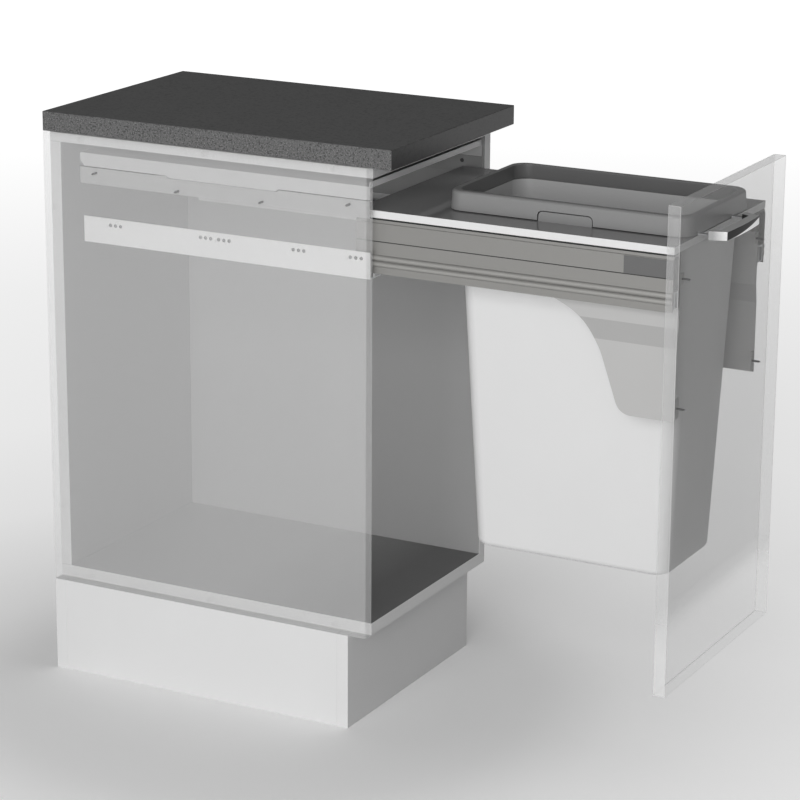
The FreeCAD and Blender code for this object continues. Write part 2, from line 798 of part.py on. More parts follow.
# ---- bin ----------------------------------------------------------------------------------

bin_x = (-bin_half, bin_half)
bin_y = (bin_front, bin_back)
foot_x = shrink(bin_x, bin_side_draft)
foot_y = (bin_front + bin_front_draft, bin_back - bin_back_draft)
outer = tapered(bin_bottom, (foot_x, foot_y), bin_foot_corner,
                plate_top, (bin_x, bin_y), bin_corner)
collar = profile("XY", [rectangle(bin_x, bin_y)], plate_top, bin_collar,
                 [(bin_corner, lambda edge: runs_along(edge, 2))])
flange_x = shrink(bin_x, -bin_flange)
flange_y = shrink(bin_y, -bin_end_flange)
flange = profile("XY", [rectangle(flange_x, flange_y)], plate_top, bin_flange_height,
                 [(bin_corner + bin_end_flange, lambda edge: runs_along(edge, 2))])
lugs = []
lug_near = bin_half + bin_flange + lug_reach - bin_wall
lug_far = bin_half + bin_flange + lug_reach
lug_y = (bin_middle - lug_length / 2, bin_middle + lug_length / 2)
for side in (-1, 1):
    lugs.append(block(span(side, bin_half, lug_far), lug_y,
                      (plate_top, plate_top + bin_flange_height)))
    lugs.append(profile("YZ", [rectangle(lug_y, (plate_top, plate_top + lug_height))],
                        -lug_far if side < 0 else lug_near, bin_wall,
                        [(notch_corner - notch_play, lambda edge: runs_along(edge, 0)
                          and edge.Vertexes[0].Z > plate_top.value + 1)]))
hollow_x = shrink(bin_x, bin_wall)
hollow_y = shrink(bin_y, bin_wall)
hollow_foot_x = shrink(foot_x, bin_wall)
hollow_foot_y = shrink(foot_y, bin_wall)
hollow_corner = bin_corner - bin_wall
hollow = tapered(bin_bottom + bin_wall, (hollow_foot_x, hollow_foot_y),
                 bin_foot_corner - bin_wall, plate_top, (hollow_x, hollow_y), hollow_corner)
mouth = profile("XY", [rectangle(hollow_x, hollow_y)], plate_top, bin_collar + 1,
                [(hollow_corner, lambda edge: runs_along(edge, 2))])
keep(cut(fuse([outer, collar, flange] + lugs), [hollow, mouth]), "bin")

# ---- bag ring -----------------------------------------------------------------------------

ring_x = shrink(bin_x, -ring_overlap)
ring_y = shrink(bin_y, -ring_end_overlap)
top_x = shrink(ring_x, ring_draft)
top_y = shrink(ring_y, ring_draft)
ring_outer = tapered(plate_top, (ring_x, ring_y), ring_corner, ring_top, (top_x, top_y),
                     ring_corner)
ring_mouth = profile("XY", [rectangle(hollow_x, hollow_y)], plate_top - 1, ring_height + 2,
                     [(hollow_corner, lambda edge: runs_along(edge, 2))])
room_x = shrink(ring_x, ring_wall)
room_y = shrink(ring_y, ring_wall)
room_draft = ring_draft * (ring_height - ring_wall) / ring_height
ring_room = tapered(plate_top, (room_x, room_y), ring_corner - ring_wall,
                    ring_top - ring_wall,
                    (shrink(room_x, room_draft), shrink(room_y, room_draft)),
                    ring_corner - ring_wall)
skirt_bottom = collar_top + ring_play
skirt_block = profile("XY", [rectangle(bin_x, bin_y)], skirt_bottom, ring_top - skirt_bottom,
                      [(bin_corner, lambda edge: runs_along(edge, 2))])
notch_y = (lug_y[0] - notch_play, lug_y[1] + notch_play)
notch_top = plate_top + lug_height + notch_play
notches = []
for side in (-1, 1):
    low = ring_x[0] - 1 if side < 0 else bin_half + bin_flange / 2
    notches.append(profile("YZ", [rectangle(notch_y, (plate_top - 1, notch_top))], low,
                           ring_overlap - bin_flange / 2 + 1,
                           [(notch_corner, lambda edge: runs_along(edge, 0)
                             and edge.Vertexes[0].Z > plate_top.value)]))
ring_shell = fuse([cut(ring_outer, [ring_room]), skirt_block])
keep(cut(ring_shell, [ring_mouth] + notches), "bag_ring")

# ---- front panel, brackets and handle -----------------------------------------------------

front_z = (plinth_height + front_lift, plinth_height + front_lift + front_height)
tab_y = (panel_inside, panel_inside + bracket_sheet)
plate_outer = side_inner + bracket_offset
low_tab_bottom = side_z - bracket_drop + low_tab_rise
low_tab_z = (low_tab_bottom, low_tab_bottom + low_tab_height)
high_tab_z = (side_z + high_tab_level, side_z + high_tab_level + high_tab_height)
fixing_places = []
for side in (-1, 1):
    fixing_places.append(((plate_outer - tab_width / 2) * side,
                          (low_tab_z[0] + low_tab_z[1]) / 2))
    fixing_places.append(((side_inner - tab_width / 2) * side,
                          (high_tab_z[0] + high_tab_z[1]) / 2))
handle_screw_x = [-handle_left + handle_leg / 2, -handle_left + handle_span - handle_leg / 2]

panel = block((-front_width / 2, front_width / 2), (panel_outside, panel_inside), front_z)
fixing_bores = [rod(screw_hole, screw_bite + bore_spare, "-y", x, panel_inside, z)
                for x, z in fixing_places]
handle_bores = [rod(plinth_screw_hole, front_thickness, "-y", x, panel_inside, handle_middle)
                for x in handle_screw_x]
handle_bores += [rod(screw_head_radius + bore_play, screw_recess, "-y", x, panel_inside,
                     handle_middle) for x in handle_screw_x]
keep(cut(panel, fixing_bores + handle_bores), "front_panel")

bracket_foot = side_z - bracket_drop
bracket_rear = panel_inside + bracket_reach
fold_high = side_z - bracket_fold_high
fold_low = side_z - bracket_fold_low
bend = (panel_inside + bracket_bend_reach, side_z - bracket_bend_drop)
toe = (panel_inside + bracket_toe_reach, bracket_foot)


def near_corner(edge, corner):
    point = edge.Vertexes[0].Point
    return (runs_along(edge, 0) and abs(point.y - as_size(corner[0]).value) < 1e-4
            and abs(point.z - as_size(corner[1]).value) < 1e-4)


def front_bracket(side, word):
    inner_top = side_inner - bracket_sheet
    inner_low = plate_outer - bracket_sheet
    section = [(side_inner, side_z + bracket_top), (side_inner, fold_high),
               (plate_outer, fold_low), (plate_outer, bracket_foot), (inner_low, bracket_foot),
               (inner_low, fold_low), (inner_top, fold_high), (inner_top, side_z + bracket_top)]
    folded = profile("XZ", [[(x * side, z) for x, z in section]], panel_inside, bracket_reach)
    outline = [(panel_inside, side_z + bracket_top), (bracket_rear, side_z + bracket_top),
               (bracket_rear, side_z - bracket_shoulder), bend, toe,
               (panel_inside, bracket_foot)]
    start, end = span(side, inner_top - 1, plate_outer + 1)
    shape = profile("YZ", [outline], start, end - start,
                    [(bracket_cove, lambda edge: near_corner(edge, bend)),
                     (bracket_toe_radius, lambda edge: near_corner(edge, toe))])
    plate = common(folded, shape)
    low_tab = block(span(side, plate_outer - tab_width, plate_outer), tab_y, low_tab_z)
    high_tab = block(span(side, side_inner - tab_width, side_inner), tab_y, high_tab_z)
    bores = [rod(screw_hole, bracket_sheet * 3, "-y", x, panel_inside + bracket_sheet * 2, z)
             for x, z in fixing_places if x.value * side > 0]
    bores += [rod(rivet_hole, bracket_sheet * 3, outward(side), (inner_top - bracket_sheet) * side,
                  y, bracket_rivet_z) for y in bracket_rivet_y]
    keep(cut(fuse([plate, low_tab, high_tab]), bores), "front_bracket_" + word)


both_sides(front_bracket)
keep(group([rivet(side, side_inner - bracket_sheet, bracket_sheet + sheet_steel, y,
                  bracket_rivet_z)
            for side in (-1, 1) for y in bracket_rivet_y]), "bracket_rivets")
keep(group([screw("-y", x, tab_y[1], z, "+y", screw_bite + bracket_sheet)
            for x, z in fixing_places]), "front_fixing_screws")

# The handle: a flat bar with a slightly bowed front, on two flared legs.
bow_steps = 8
handle_right = -handle_left + handle_span
bar_left = -handle_left + handle_flare
bar_right = handle_right - handle_flare
bar_front = panel_outside - handle_projection
handle_outline = [(-handle_left, panel_outside)]
for step in range(bow_steps + 1):
    share = step / bow_steps
    bow = handle_bow * (2 * share - 1) ** 2
    handle_outline.append((bar_left + (bar_right - bar_left) * share, bar_front + bow))
handle_outline += [(handle_right, panel_outside), (handle_right - handle_leg, panel_outside),
                   (bar_right - handle_crotch, bar_front + handle_bow + handle_bar),
                   (bar_left + handle_crotch, bar_front + handle_bow + handle_bar),
                   (-handle_left + handle_leg, panel_outside)]
grip = profile("XY", [handle_outline], handle_bottom, handle_height)
handle_thread = (handle_projection - handle_bow) * 0.3
keep(cut(grip, [rod(long_screw_radius + bore_play, handle_thread + bore_spare, "-y", x,
                    panel_outside, handle_middle) for x in handle_screw_x]), "handle")
keep(group([screw("-y", x, panel_inside - screw_recess, handle_middle, "+y",
                  front_thickness + handle_thread - screw_recess, long_screw_radius)
            for x in handle_screw_x]), "handle_screws")

# ---- lid ----------------------------------------------------------------------------------

step_from = lid_setback + lid_step_start
step_to = lid_back - lid_step_back
lid_half = inner_wall - lid_wall_gap
split = [(lid_setback, lid_flange_bottom), (step_from, lid_flange_bottom),
         (step_from + lid_step, lid_flange_bottom - lid_step),
         (step_to - lid_step, lid_flange_bottom - lid_step), (step_to, lid_flange_bottom)]


def lid_bracket(side, word):
    outline = split + [(lid_back, lid_flange_bottom), (lid_back, lid_base), (lid_setback, lid_base)]
    start, end = span(side, inner_wall - sheet_steel, inner_wall)
    strip = profile("YZ", [outline], start, end - start)
    holes = [rod(screw_hole, sheet_steel * 3, outward(side), (inner_wall - sheet_steel * 2) * side,
                 lid_setback + y, lid_base + level) for y, level in lid_screws]
    keep(cut(strip, holes), "lid_bracket_" + word)


both_sides(lid_bracket)
keep(group([screw(outward(side), (inner_wall - sheet_steel) * side, lid_setback + y,
                  lid_base + level, inward(side), screw_bite + sheet_steel)
            for side in (-1, 1) for y, level in lid_screws]), "lid_bracket_screws")

lid_sides = []
for side in (-1, 1):
    outline = split + [(lid_back - lid_chamfer, lid_flange_bottom),
                       (lid_back, lid_flange_bottom + lid_chamfer), (lid_back, lid_top),
                       (lid_setback, lid_top)]
    start, end = span(side, lid_half - sheet_steel, lid_half)
    lid_sides.append(profile("YZ", [outline], start, end - start))
cover = block((-lid_half, lid_half), (lid_setback, lid_back), (lid_top - sheet_steel, lid_top))
lips = [block((-lid_half, lid_half), (y, y + sheet_steel), (lid_top - lid_lip, lid_top))
        for y in (lid_setback, lid_back - sheet_steel)]
upstand = block((-lid_half, lid_half), (lid_setback, lid_setback + sheet_steel),
                (lid_top - sheet_steel, lid_top + lid_upstand))
keep(fuse(lid_sides + [cover, upstand] + lips), "lid")

# ---- check and write ----------------------------------------------------------------------

doc.recompute()
for thing in doc.Objects:
    if "Invalid" in thing.State or "Error" in thing.State:
        raise SystemExit("%s failed: %s" % (thing.Name, thing.State))
for piece in pieces:
    shape = piece.Shape
    if shape.isNull() or not shape.isValid() or not shape.Solids:
        raise SystemExit("%s has no sound solid" % piece.Label)
for piece in pieces:
    piece.Shape.exportStep(os.path.join("parts", piece.Label + ".step"))
print("%d sub-parts" % len(pieces))
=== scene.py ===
import bmesh
import bpy
import json
import math
from mathutils import Matrix, Vector


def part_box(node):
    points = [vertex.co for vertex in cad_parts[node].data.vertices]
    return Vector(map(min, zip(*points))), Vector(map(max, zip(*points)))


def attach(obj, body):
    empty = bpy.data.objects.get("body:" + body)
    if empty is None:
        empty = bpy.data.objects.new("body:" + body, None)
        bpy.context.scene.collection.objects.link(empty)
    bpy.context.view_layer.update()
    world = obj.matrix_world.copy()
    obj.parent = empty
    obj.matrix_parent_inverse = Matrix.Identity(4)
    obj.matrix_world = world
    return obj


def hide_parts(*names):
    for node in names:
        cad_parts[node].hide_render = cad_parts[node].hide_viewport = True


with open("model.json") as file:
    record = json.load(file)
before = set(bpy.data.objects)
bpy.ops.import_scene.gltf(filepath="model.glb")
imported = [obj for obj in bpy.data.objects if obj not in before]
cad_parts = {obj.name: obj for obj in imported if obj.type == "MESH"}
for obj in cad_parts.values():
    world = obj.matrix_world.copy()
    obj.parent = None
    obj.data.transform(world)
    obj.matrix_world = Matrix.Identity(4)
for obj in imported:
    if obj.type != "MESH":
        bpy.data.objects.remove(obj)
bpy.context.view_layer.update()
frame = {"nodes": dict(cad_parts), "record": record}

mm = 0.001
frontLine = -23.25              # where the cabinet's front plane lies, in mm
bodies = frame["record"]["behaviour"]["bodies"]
bodyOf = {node: body for body, nodes in bodies.items() for node in nodes}
slotOf = {part["node"]: part["material_slot"] for part in frame["record"]["subparts"]}


def tone(level, tint=(1.0, 1.0, 1.0)):        # a colour from a display level of 0 to 255
    value = level / 255
    linear = value / 12.92 if value <= 0.04045 else ((value + 0.055) / 1.055) ** 2.4
    return (linear * tint[0], linear * tint[1], linear * tint[2], 1.0)


# Materials

class Wire:                                   # one socket, with arithmetic on it
    def __init__(self, finish, socket):
        self.finish, self.socket = finish, socket

    def maths(self, operation, first, second):
        return self.finish.node("ShaderNodeMath", {"operation": operation}, {0: first, 1: second})

    def __add__(self, other):
        return self.maths("ADD", self, other)

    def __radd__(self, other):
        return self.maths("ADD", other, self)

    def __sub__(self, other):
        return self.maths("SUBTRACT", self, other)

    def __rsub__(self, other):
        return self.maths("SUBTRACT", other, self)

    def __mul__(self, other):
        return self.maths("MULTIPLY", self, other)

    def __rmul__(self, other):
        return self.maths("MULTIPLY", other, self)


class Finish:                                 # a material while it is being wired
    def __init__(self, name, fixed):
        self.material = bpy.data.materials.new(name)
        self.material.use_nodes = True
        self.nodes = self.material.node_tree.nodes
        self.links = self.material.node_tree.links
        self.shader = self.nodes["Principled BSDF"]
        for socket, value in fixed.items():
            self.shader.inputs[socket].default_value = value
        self.place = self.node("ShaderNodeTexCoord", {}, {}, "Object")

    def node(self, kind, settings, sockets, output=0):
        made = self.nodes.new(kind)
        stops = settings.pop("stops", None)
        for setting, value in settings.items():
            setattr(made, setting, value)
        if stops:
            while len(made.color_ramp.elements) < len(stops):
                made.color_ramp.elements.new(0.5)
            for element, (position, level) in zip(made.color_ramp.elements, stops):
                element.position = position
                element.color = (level, level, level, 1.0)
        for socket, value in sockets.items():
            self.feed(made.inputs[socket], value)
        return Wire(self, made.outputs[output])

    def feed(self, socket, value):
        if isinstance(value, Wire):
            self.links.new(value.socket, socket)
        else:
            socket.default_value = value

    def stretched(self, scale):
        return self.node("ShaderNodeMapping", {}, {"Vector": self.place, "Scale": scale})

    def noise(self, size, detail=3.0, vector=None):
        return self.node("ShaderNodeTexNoise", {}, {
            "Vector": vector or self.place, "Scale": 1 / size, "Detail": detail})

    def along(self, axis):                        # how far along X, Y or Z, as 0, 1 or 2
        return self.node("ShaderNodeSeparateXYZ", {}, {"Vector": self.place}, axis)

    def ramp(self, value, stops):
        return self.node("ShaderNodeValToRGB", {"stops": stops}, {"Fac": value})

    def blend(self, factor, first, second):
        return self.node("ShaderNodeMix", {"data_type": "RGBA"},
                         {0: factor, 6: first, 7: second}, 2)

    def shade(self, colour, amount, variation):   # lighter and darker by a pattern around 0.5
        light = tuple(min(1.0, part * (1 + amount)) for part in colour[:3]) + (1.0,)
        dark = tuple(part * (1 - amount) for part in colour[:3]) + (1.0,)
        return self.blend(variation, dark, light)

    def bump(self, height, depth):
        return self.node("ShaderNodeBump", {}, {"Height": height, "Distance": depth})

    def set(self, **wires):
        names = {"colour": "Base Color", "roughness": "Roughness", "metallic": "Metallic",
                 "normal": "Normal", "alpha": "Alpha"}
        for name, value in wires.items():
            self.feed(self.shader.inputs[names[name]], value)
        return self.material


paint = {"specular": 0.5, "metallic": 0.0, "patchSize": 0.12, "mottle": 0.02,
         "roughSpread": 0.08, "grainRough": 0.04}


def painted(name, changes):                   # smooth paint or moulding with a fine skin
    settings = paint | changes
    fixed = {"Specular IOR Level": settings["specular"]}
    if "alpha" in settings:
        fixed["Alpha"] = settings["alpha"]
    finish = Finish(name, fixed)
    patches = finish.noise(settings["patchSize"], 2.0)
    grain = finish.noise(settings["grainSize"], 2.0)
    colour = finish.shade(settings["colour"], settings["mottle"], patches)
    if "paintedShadeDrift" in settings:                   # painted shade and light: a second colour and clearness further along
        paintedShadeDrift = settings["paintedShadeDrift"]
        length = paintedShadeDrift["end"] - paintedShadeDrift["start"]
        share = (finish.along(paintedShadeDrift["axis"]) - paintedShadeDrift["start"]) * (1 / length)
        mask = finish.ramp(share, [(0.0, 0.0), (1.0, 1.0)])
        colour = finish.blend(mask, colour, paintedShadeDrift["colour"])
        if "alpha" in paintedShadeDrift:
            finish.set(alpha=finish.ramp(share, [(0.0, settings["alpha"]), (1.0, paintedShadeDrift["alpha"])]))
    spread = settings["roughSpread"]
    return finish.set(
        colour=colour,
        roughness=(patches * spread + (settings["roughness"] - spread / 2)
                   + (grain - 0.5) * settings["grainRough"]),
        metallic=settings["metallic"],
        normal=finish.bump(grain, settings["grainDepth"]))


brush = {"stretch": (1.0, 0.02, 1.0), "patchSize": 0.06, "lineRough": 0.14, "patchRough": 0.08}


def brushed(name, settings):                  # bare metal with fine lines along Y
    finish = Finish(name, {})
    lines = finish.noise(settings["lineSize"], vector=finish.stretched(brush["stretch"]))
    patches = finish.noise(brush["patchSize"], 2.0)
    middle = settings["roughness"] - (brush["lineRough"] + brush["patchRough"]) / 2
    return finish.set(
        colour=finish.shade(settings["colour"], settings["mottle"], lines),
        roughness=lines * brush["lineRough"] + patches * brush["patchRough"] + middle,
        metallic=settings["metallic"],
        normal=finish.bump(lines, settings["lineDepth"]))


stone = {"specular": 0.4, "coarser": 1.7, "stretch": (1.0, 1.0, 1.3), "patchSize": 0.09,
         "mottle": 0.08, "darkGrains": (0.54, 0.62), "lightGrains": (0.55, 0.66),
         "grainRough": 0.2, "grainDepth": 0.00006}


def speckled(name, settings):                 # engineered stone with light and dark grains
    finish = Finish(name, {"Specular IOR Level": stone["specular"]})
    size = settings["grainSize"]
    fine = finish.noise(size, 2.0)
    coarse = finish.noise(size * stone["coarser"], 1.0, finish.stretched(stone["stretch"]))
    patches = finish.noise(stone["patchSize"], 2.0)
    colour = finish.shade(settings["colour"], stone["mottle"], patches)
    for pattern, (start, end), grainColour in (
            (coarse, stone["darkGrains"], settings["darkColour"]),
            (fine, stone["lightGrains"], settings["lightColour"])):
        grains = finish.ramp(pattern, [(start, 0.0), (end, 1.0)])
        colour = finish.blend(grains * settings["contrast"], colour, grainColour)
    return finish.set(
        colour=colour,
        roughness=settings["roughness"] + (fine - 0.5) * stone["grainRough"],
        normal=finish.bump(fine, stone["grainDepth"]))


chrome = {"lineSize": 0.004, "mottle": 0.02, "lineRough": 0.05, "lineDepth": 0.000004,
          "bow": 0.9, "band": (0.47, 0.55), "lift": (0.2, 0.85)}


def polished(name, settings):                 # bright metal; a painted reflection of the floor on the lower far side
    finish = Finish(name, {"Specular Tint": settings.get("edgeTint", tone(255))})
    lines = finish.noise(chrome["lineSize"], vector=finish.stretched(brush["stretch"]))
    colour = finish.shade(settings["colour"], chrome["mottle"], lines)
    if "paintedReflection" in settings:
        left, width, bottom, height = settings["span"]
        share = (finish.along(0) - left) * (1 / width)
        above = (finish.along(2) - bottom) * (1 / height) - share * share * chrome["bow"]
        full, none = chrome["band"]
        band = finish.ramp(above + 0.5, [(full, 1.0), (none, 0.0)])
        colour = finish.blend(band, colour, settings["paintedReflection"])
    if "frontReflection" in settings:               # painted reflection, brighter towards the front
        start, end, frontColour = settings["frontReflection"]
        low, high = chrome["lift"]
        share = finish.ramp((finish.along(1) - start) * (1 / (end - start)),
                            [(low, 0.0), (high, 1.0)])
        colour = finish.blend(share, colour, frontColour)
    middle = settings["roughness"] - chrome["lineRough"] / 2
    return finish.set(
        colour=colour, roughness=lines * chrome["lineRough"] + middle, metallic=1.0,
        normal=finish.bump(lines, chrome["lineDepth"]))


def sawn(name, settings):                     # plain timber, for the hidden blocks and dowels
    finish = Finish(name, {})
    rings = finish.noise(settings["ringSize"], vector=finish.stretched(settings["stretch"]))
    return finish.set(
        colour=finish.blend(rings, settings["colour"], settings["lateColour"]),
        roughness=rings * settings["ringRough"] + settings["roughness"],
        normal=finish.bump(rings, settings["ringDepth"]))


# What kindred finishes share
boardSkin = {"roughness": 0.46, "grainSize": 0.0034, "grainDepth": 0.00002}
clearSkin = {"roughness": 0.35, "grainSize": 0.0034, "grainDepth": 0.00001}
coatSkin = {"roughness": 0.4, "grainSize": 0.0008, "grainDepth": 0.00003}
shadeSkin = {"roughness": 0.6, "grainSize": 0.0008, "grainDepth": 0.00002}
warmSkin = {"roughness": 0.34, "grainSize": 0.0007, "grainDepth": 0.00003, "metallic": 0.25}
foldSkin = {"roughness": 0.42, "grainSize": 0.0007, "grainDepth": 0.00003}
mouldSkin = {"roughness": 0.42, "grainSize": 0.0009, "grainDepth": 0.00005}
glossSkin = {"grainSize": 0.004, "grainDepth": 0.000002}
stoneGrains = {"contrast": 0.7, "grainSize": 0.0030, "roughness": 0.42}
warmTint, paleTint = (1.0, 0.985, 0.945), (1.0, 0.995, 0.985)

finishes = {
    "board": painted("lightBoard", boardSkin | {"colour": tone(238), "roughness": 0.42}),
    # painted shade: the carcass's inside faces and the shelf are darker copies of the board,
    # lighter towards the back
    "inside_painted_shade": painted("greyWallPaintedShade", boardSkin | {
        "colour": tone(165),
        "paintedShadeDrift": {"axis": 1, "start": 0.05, "end": 0.22, "colour": tone(184)}}),
    "shelf_painted_shade": painted("greyShelfPaintedShade", boardSkin | {
        "colour": tone(116),
        "paintedShadeDrift": {"axis": 1, "start": 0.05, "end": 0.26, "colour": tone(176)}}),
    "ghost_board": painted("clearedBoard", clearSkin | {"colour": tone(254), "alpha": 0.235}),
    # painted shade: the front pane is greyer and less clear above 0.275 m, whiter and clearer below
    # 0.238 m
    "ghost_front_painted_shade": painted("clearedFrontPaintedShade", clearSkin | {
        "colour": tone(250), "roughness": 0.3, "alpha": 0.06,
        "paintedShadeDrift": {"axis": 2, "start": 0.238, "end": 0.275, "colour": tone(200), "alpha": 0.25}}),
    "ghost_rim": painted("clearedRim", clearSkin | {"colour": tone(240), "alpha": 0.5}),
    "ghost_top": painted("clearedTopEdge", clearSkin | {"colour": tone(254), "alpha": 0.42}),
    # painted light and shade: the pane's near and far edges are more opaque and white low down,
    # clearer higher up
    "ghost_near_painted_shade": painted("clearedNearEdgePaintedShade", clearSkin | {
        "colour": tone(252), "alpha": 0.5,
        "paintedShadeDrift": {"axis": 2, "start": 0.210, "end": 0.262, "colour": tone(252), "alpha": 0.25}}),
    "ghost_far_painted_shade": painted("clearedFarEdgePaintedShade", clearSkin | {
        "colour": tone(254), "alpha": 0.3,
        "paintedShadeDrift": {"axis": 2, "start": 0.238, "end": 0.290, "colour": tone(252), "alpha": 0.08}}),
    "ghost_foot": painted("clearedFootEdge", clearSkin | {"colour": tone(254), "alpha": 0.05}),
    "cleared_fixing": painted("clearedFixing", clearSkin | {
        "colour": tone(236), "roughness": 0.6, "alpha": 0.03}),
    "plinth_board": painted("whiteBoard", boardSkin | {"colour": tone(238), "roughness": 0.5}),
    "timber": sawn("paleTimber", {
        "colour": (0.70, 0.66, 0.60, 1.0), "lateColour": (0.62, 0.58, 0.52, 1.0),
        "ringSize": 0.004, "stretch": (1.0, 0.08, 1.0), "ringDepth": 0.0002, "ringRough": 0.15,
        "roughness": 0.6}),
    "counter": speckled("smoothStone", stoneGrains | {
        "colour": tone(105), "darkColour": tone(82), "lightColour": tone(124)}),
    "counter_edge": speckled("speckledStone", {
        "colour": tone(99), "darkColour": tone(54), "lightColour": tone(142),
        "contrast": 0.8, "grainSize": 0.0020, "roughness": 0.5}),
    # painted shade: a darker copy of the stone for the worktop's front and back faces
    "counter_front_painted_shade": speckled("paintedShadeStone", stoneGrains | {
        "colour": tone(57), "darkColour": tone(44), "lightColour": tone(71)}),
    "white_steel": painted("whitePowderCoat", coatSkin | {
        "colour": tone(250), "roughness": 0.38}),
    "lid_steel": painted("paleGreyCoat", coatSkin | {"colour": tone(204)}),
    # painted shade: a darker copy of the lid's coat, for the right bracket
    "lid_painted_shade": painted("paintedShadeGreyCoat", coatSkin | {"colour": tone(158)}),
    # painted shade for seams, grooves, the gap under the plate and the ring's foot
    "painted_gap_shade": painted("paintedGapShade", shadeSkin | {"colour": tone(52)}),
    # painted shade for the walls of the rail's screw holes
    "painted_hole_shade": painted("paintedHoleShade", shadeSkin | {"colour": tone(58)}),
    "stop_plastic": painted("blackStop", {
        "colour": tone(38), "roughness": 0.5, "grainSize": 0.0009, "grainDepth": 0.00004}),
    "bare_steel": brushed("zincPlatedSteel", {
        "colour": (0.60, 0.61, 0.62, 1.0), "mottle": 0.06, "lineSize": 0.0006,
        "lineDepth": 0.00002, "roughness": 0.36, "metallic": 1.0}),
    "glide_plastic": painted("naturalNylon", {
        "colour": tone(225), "roughness": 0.45, "grainSize": 0.0009, "grainDepth": 0.00003}),
    "drawer_steel": painted("warmGreyCoat", warmSkin | {"colour": tone(141, warmTint)}),
    # painted highlight on the drawer sides' rib faces
    "rib_painted_highlight": painted("warmGreyRibPaintedHighlight", warmSkin | {"colour": tone(159, warmTint)}),
    "cover_plastic": painted("darkGreyCover", {
        "colour": tone(101), "roughness": 0.45, "grainSize": 0.0008, "grainDepth": 0.00005}),
    "plate_plastic": painted("glossyGreyPlate", glossSkin | {
        "colour": tone(146), "roughness": 0.07, "roughSpread": 0.02, "specular": 0.8}),
    "plate_edge": painted("brightPlateEdge", {
        "colour": tone(240), "roughness": 0.3, "grainSize": 0.001, "grainDepth": 0.00002}),
    "bracket_steel": painted("lightGreyCoat", foldSkin | {"colour": tone(194, paleTint)}),
    # painted shade on the front brackets' folded band
    "bracket_fold_painted_shade": painted("foldPaintedShadeCoat", foldSkin | {"colour": tone(176, paleTint)}),
    "bin_plastic": painted("lightGreyBin", mouldSkin | {"colour": tone(236)}),
    "bin_rim": painted("midGreyRim", mouldSkin | {"colour": tone(142), "roughness": 0.38}),
    # painted shade: darker copies of the bin's and the ring's plastic for their inner walls
    "bin_inside_painted_shade": painted("paintedShadeBinWall", mouldSkin | {"colour": tone(200)}),
    "ring_inside_painted_shade": painted("paintedShadeRingWall", mouldSkin | {
        "colour": tone(114), "roughness": 0.36}),
    "ring_plastic": painted("darkGreyRing", mouldSkin | {"colour": tone(142), "roughness": 0.36}),
    "handle_chrome": polished("polishedChrome", {"colour": tone(190), "roughness": 0.12}),
    # painted reflection on the handle's front, ends and top, and a painted glint on its top edge
    "handle_front_painted_reflection": polished("chromeWithPaintedReflection", {
        "colour": tone(50), "paintedReflection": tone(236), "roughness": 0.12,
        "edgeTint": tone(203), "span": (-0.097, 0.139, 0.7995, 0.013)}),
    "handle_end_painted_reflection": polished("chromeEndPaintedReflection", {
        "colour": tone(122), "roughness": 0.24, "frontReflection": (-0.510, -0.535, tone(168))}),
    "handle_top_painted_reflection": painted("satinHandleTopPaintedReflection", glossSkin | {
        "colour": tone(226), "roughness": 0.25, "metallic": 0.2}),
    "handle_edge_painted_glint": painted("handleEdgePaintedGlint", glossSkin | {
        "colour": tone(228), "roughness": 0.2}),
    "fixing_steel": brushed("zincFixings", {
        "colour": (0.50, 0.50, 0.51, 1.0), "mottle": 0.08, "lineSize": 0.0008,
        "lineDepth": 0.00001, "roughness": 0.42, "metallic": 1.0}),
    "dark_fixing": brushed("darkenedFixings", {
        "colour": (0.10, 0.10, 0.10, 1.0), "mottle": 0.08, "lineSize": 0.0008,
        "lineDepth": 0.00001, "roughness": 0.45, "metallic": 0.6}),
}
print("materials made:", len(finishes))


# Ways of making a piece

shaping = {                                   # angles in degrees, mergeDistance in metres
    "sharpAngle": 38, "flatAngle": 0.5, "mergeDistance": 1e-6, "edgeReach": 0.1}


def addPiece(name, shape, node, finishNames):
    mesh = bpy.data.meshes.new(name)
    for face in shape.faces:
        face.smooth = True
    shape.to_mesh(mesh)
    shape.free()
    mesh.set_sharp_from_angle(angle=math.radians(shaping["sharpAngle"]))
    for finishName in finishNames:
        mesh.materials.append(finishes[finishName])
    piece = bpy.data.objects.new(name, mesh)
    bpy.context.scene.collection.objects.link(piece)
    normals = piece.modifiers.new("flatFaces", "WEIGHTED_NORMAL")
    normals.keep_sharp = True
    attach(piece, bodyOf[node])
    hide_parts(node)


def sharpEdges(shape, angle):
    return [edge for edge in shape.edges
            if len(edge.link_faces) == 2 and edge.calc_face_angle(0) > math.radians(angle)]


def bevelEdges(shape, edges, width, segments):
    bmesh.ops.bevel(shape, geom=edges, offset=width, affect="EDGES", segments=segments,
                    profile=0.5, material=-1, clamp_overlap=True)


def nodeShape(node):                          # a merged copy of a node's own mesh
    shape = bmesh.new()
    shape.from_mesh(frame["nodes"][node].data)
    bmesh.ops.remove_doubles(shape, verts=shape.verts, dist=shaping["mergeDistance"])
    bmesh.ops.dissolve_limit(shape, angle_limit=math.radians(shaping["flatAngle"]),
                             verts=shape.verts, edges=shape.edges)
    return shape


def softened(node, width, segments=2, angle=35):
    shape = nodeShape(node)
    bevelEdges(shape, sharpEdges(shape, angle), width, segments)
    return shape


def blockBetween(low, high, width=0.0, segments=2):
    shape = bmesh.new()
    bmesh.ops.create_cube(shape, size=1.0)
    low, high = Vector(low), Vector(high)
    bmesh.ops.scale(shape, vec=high - low, verts=shape.verts)
    bmesh.ops.translate(shape, vec=(high + low) / 2, verts=shape.verts)
    if width:
        bevelEdges(shape, list(shape.edges), width, segments)
    return shape


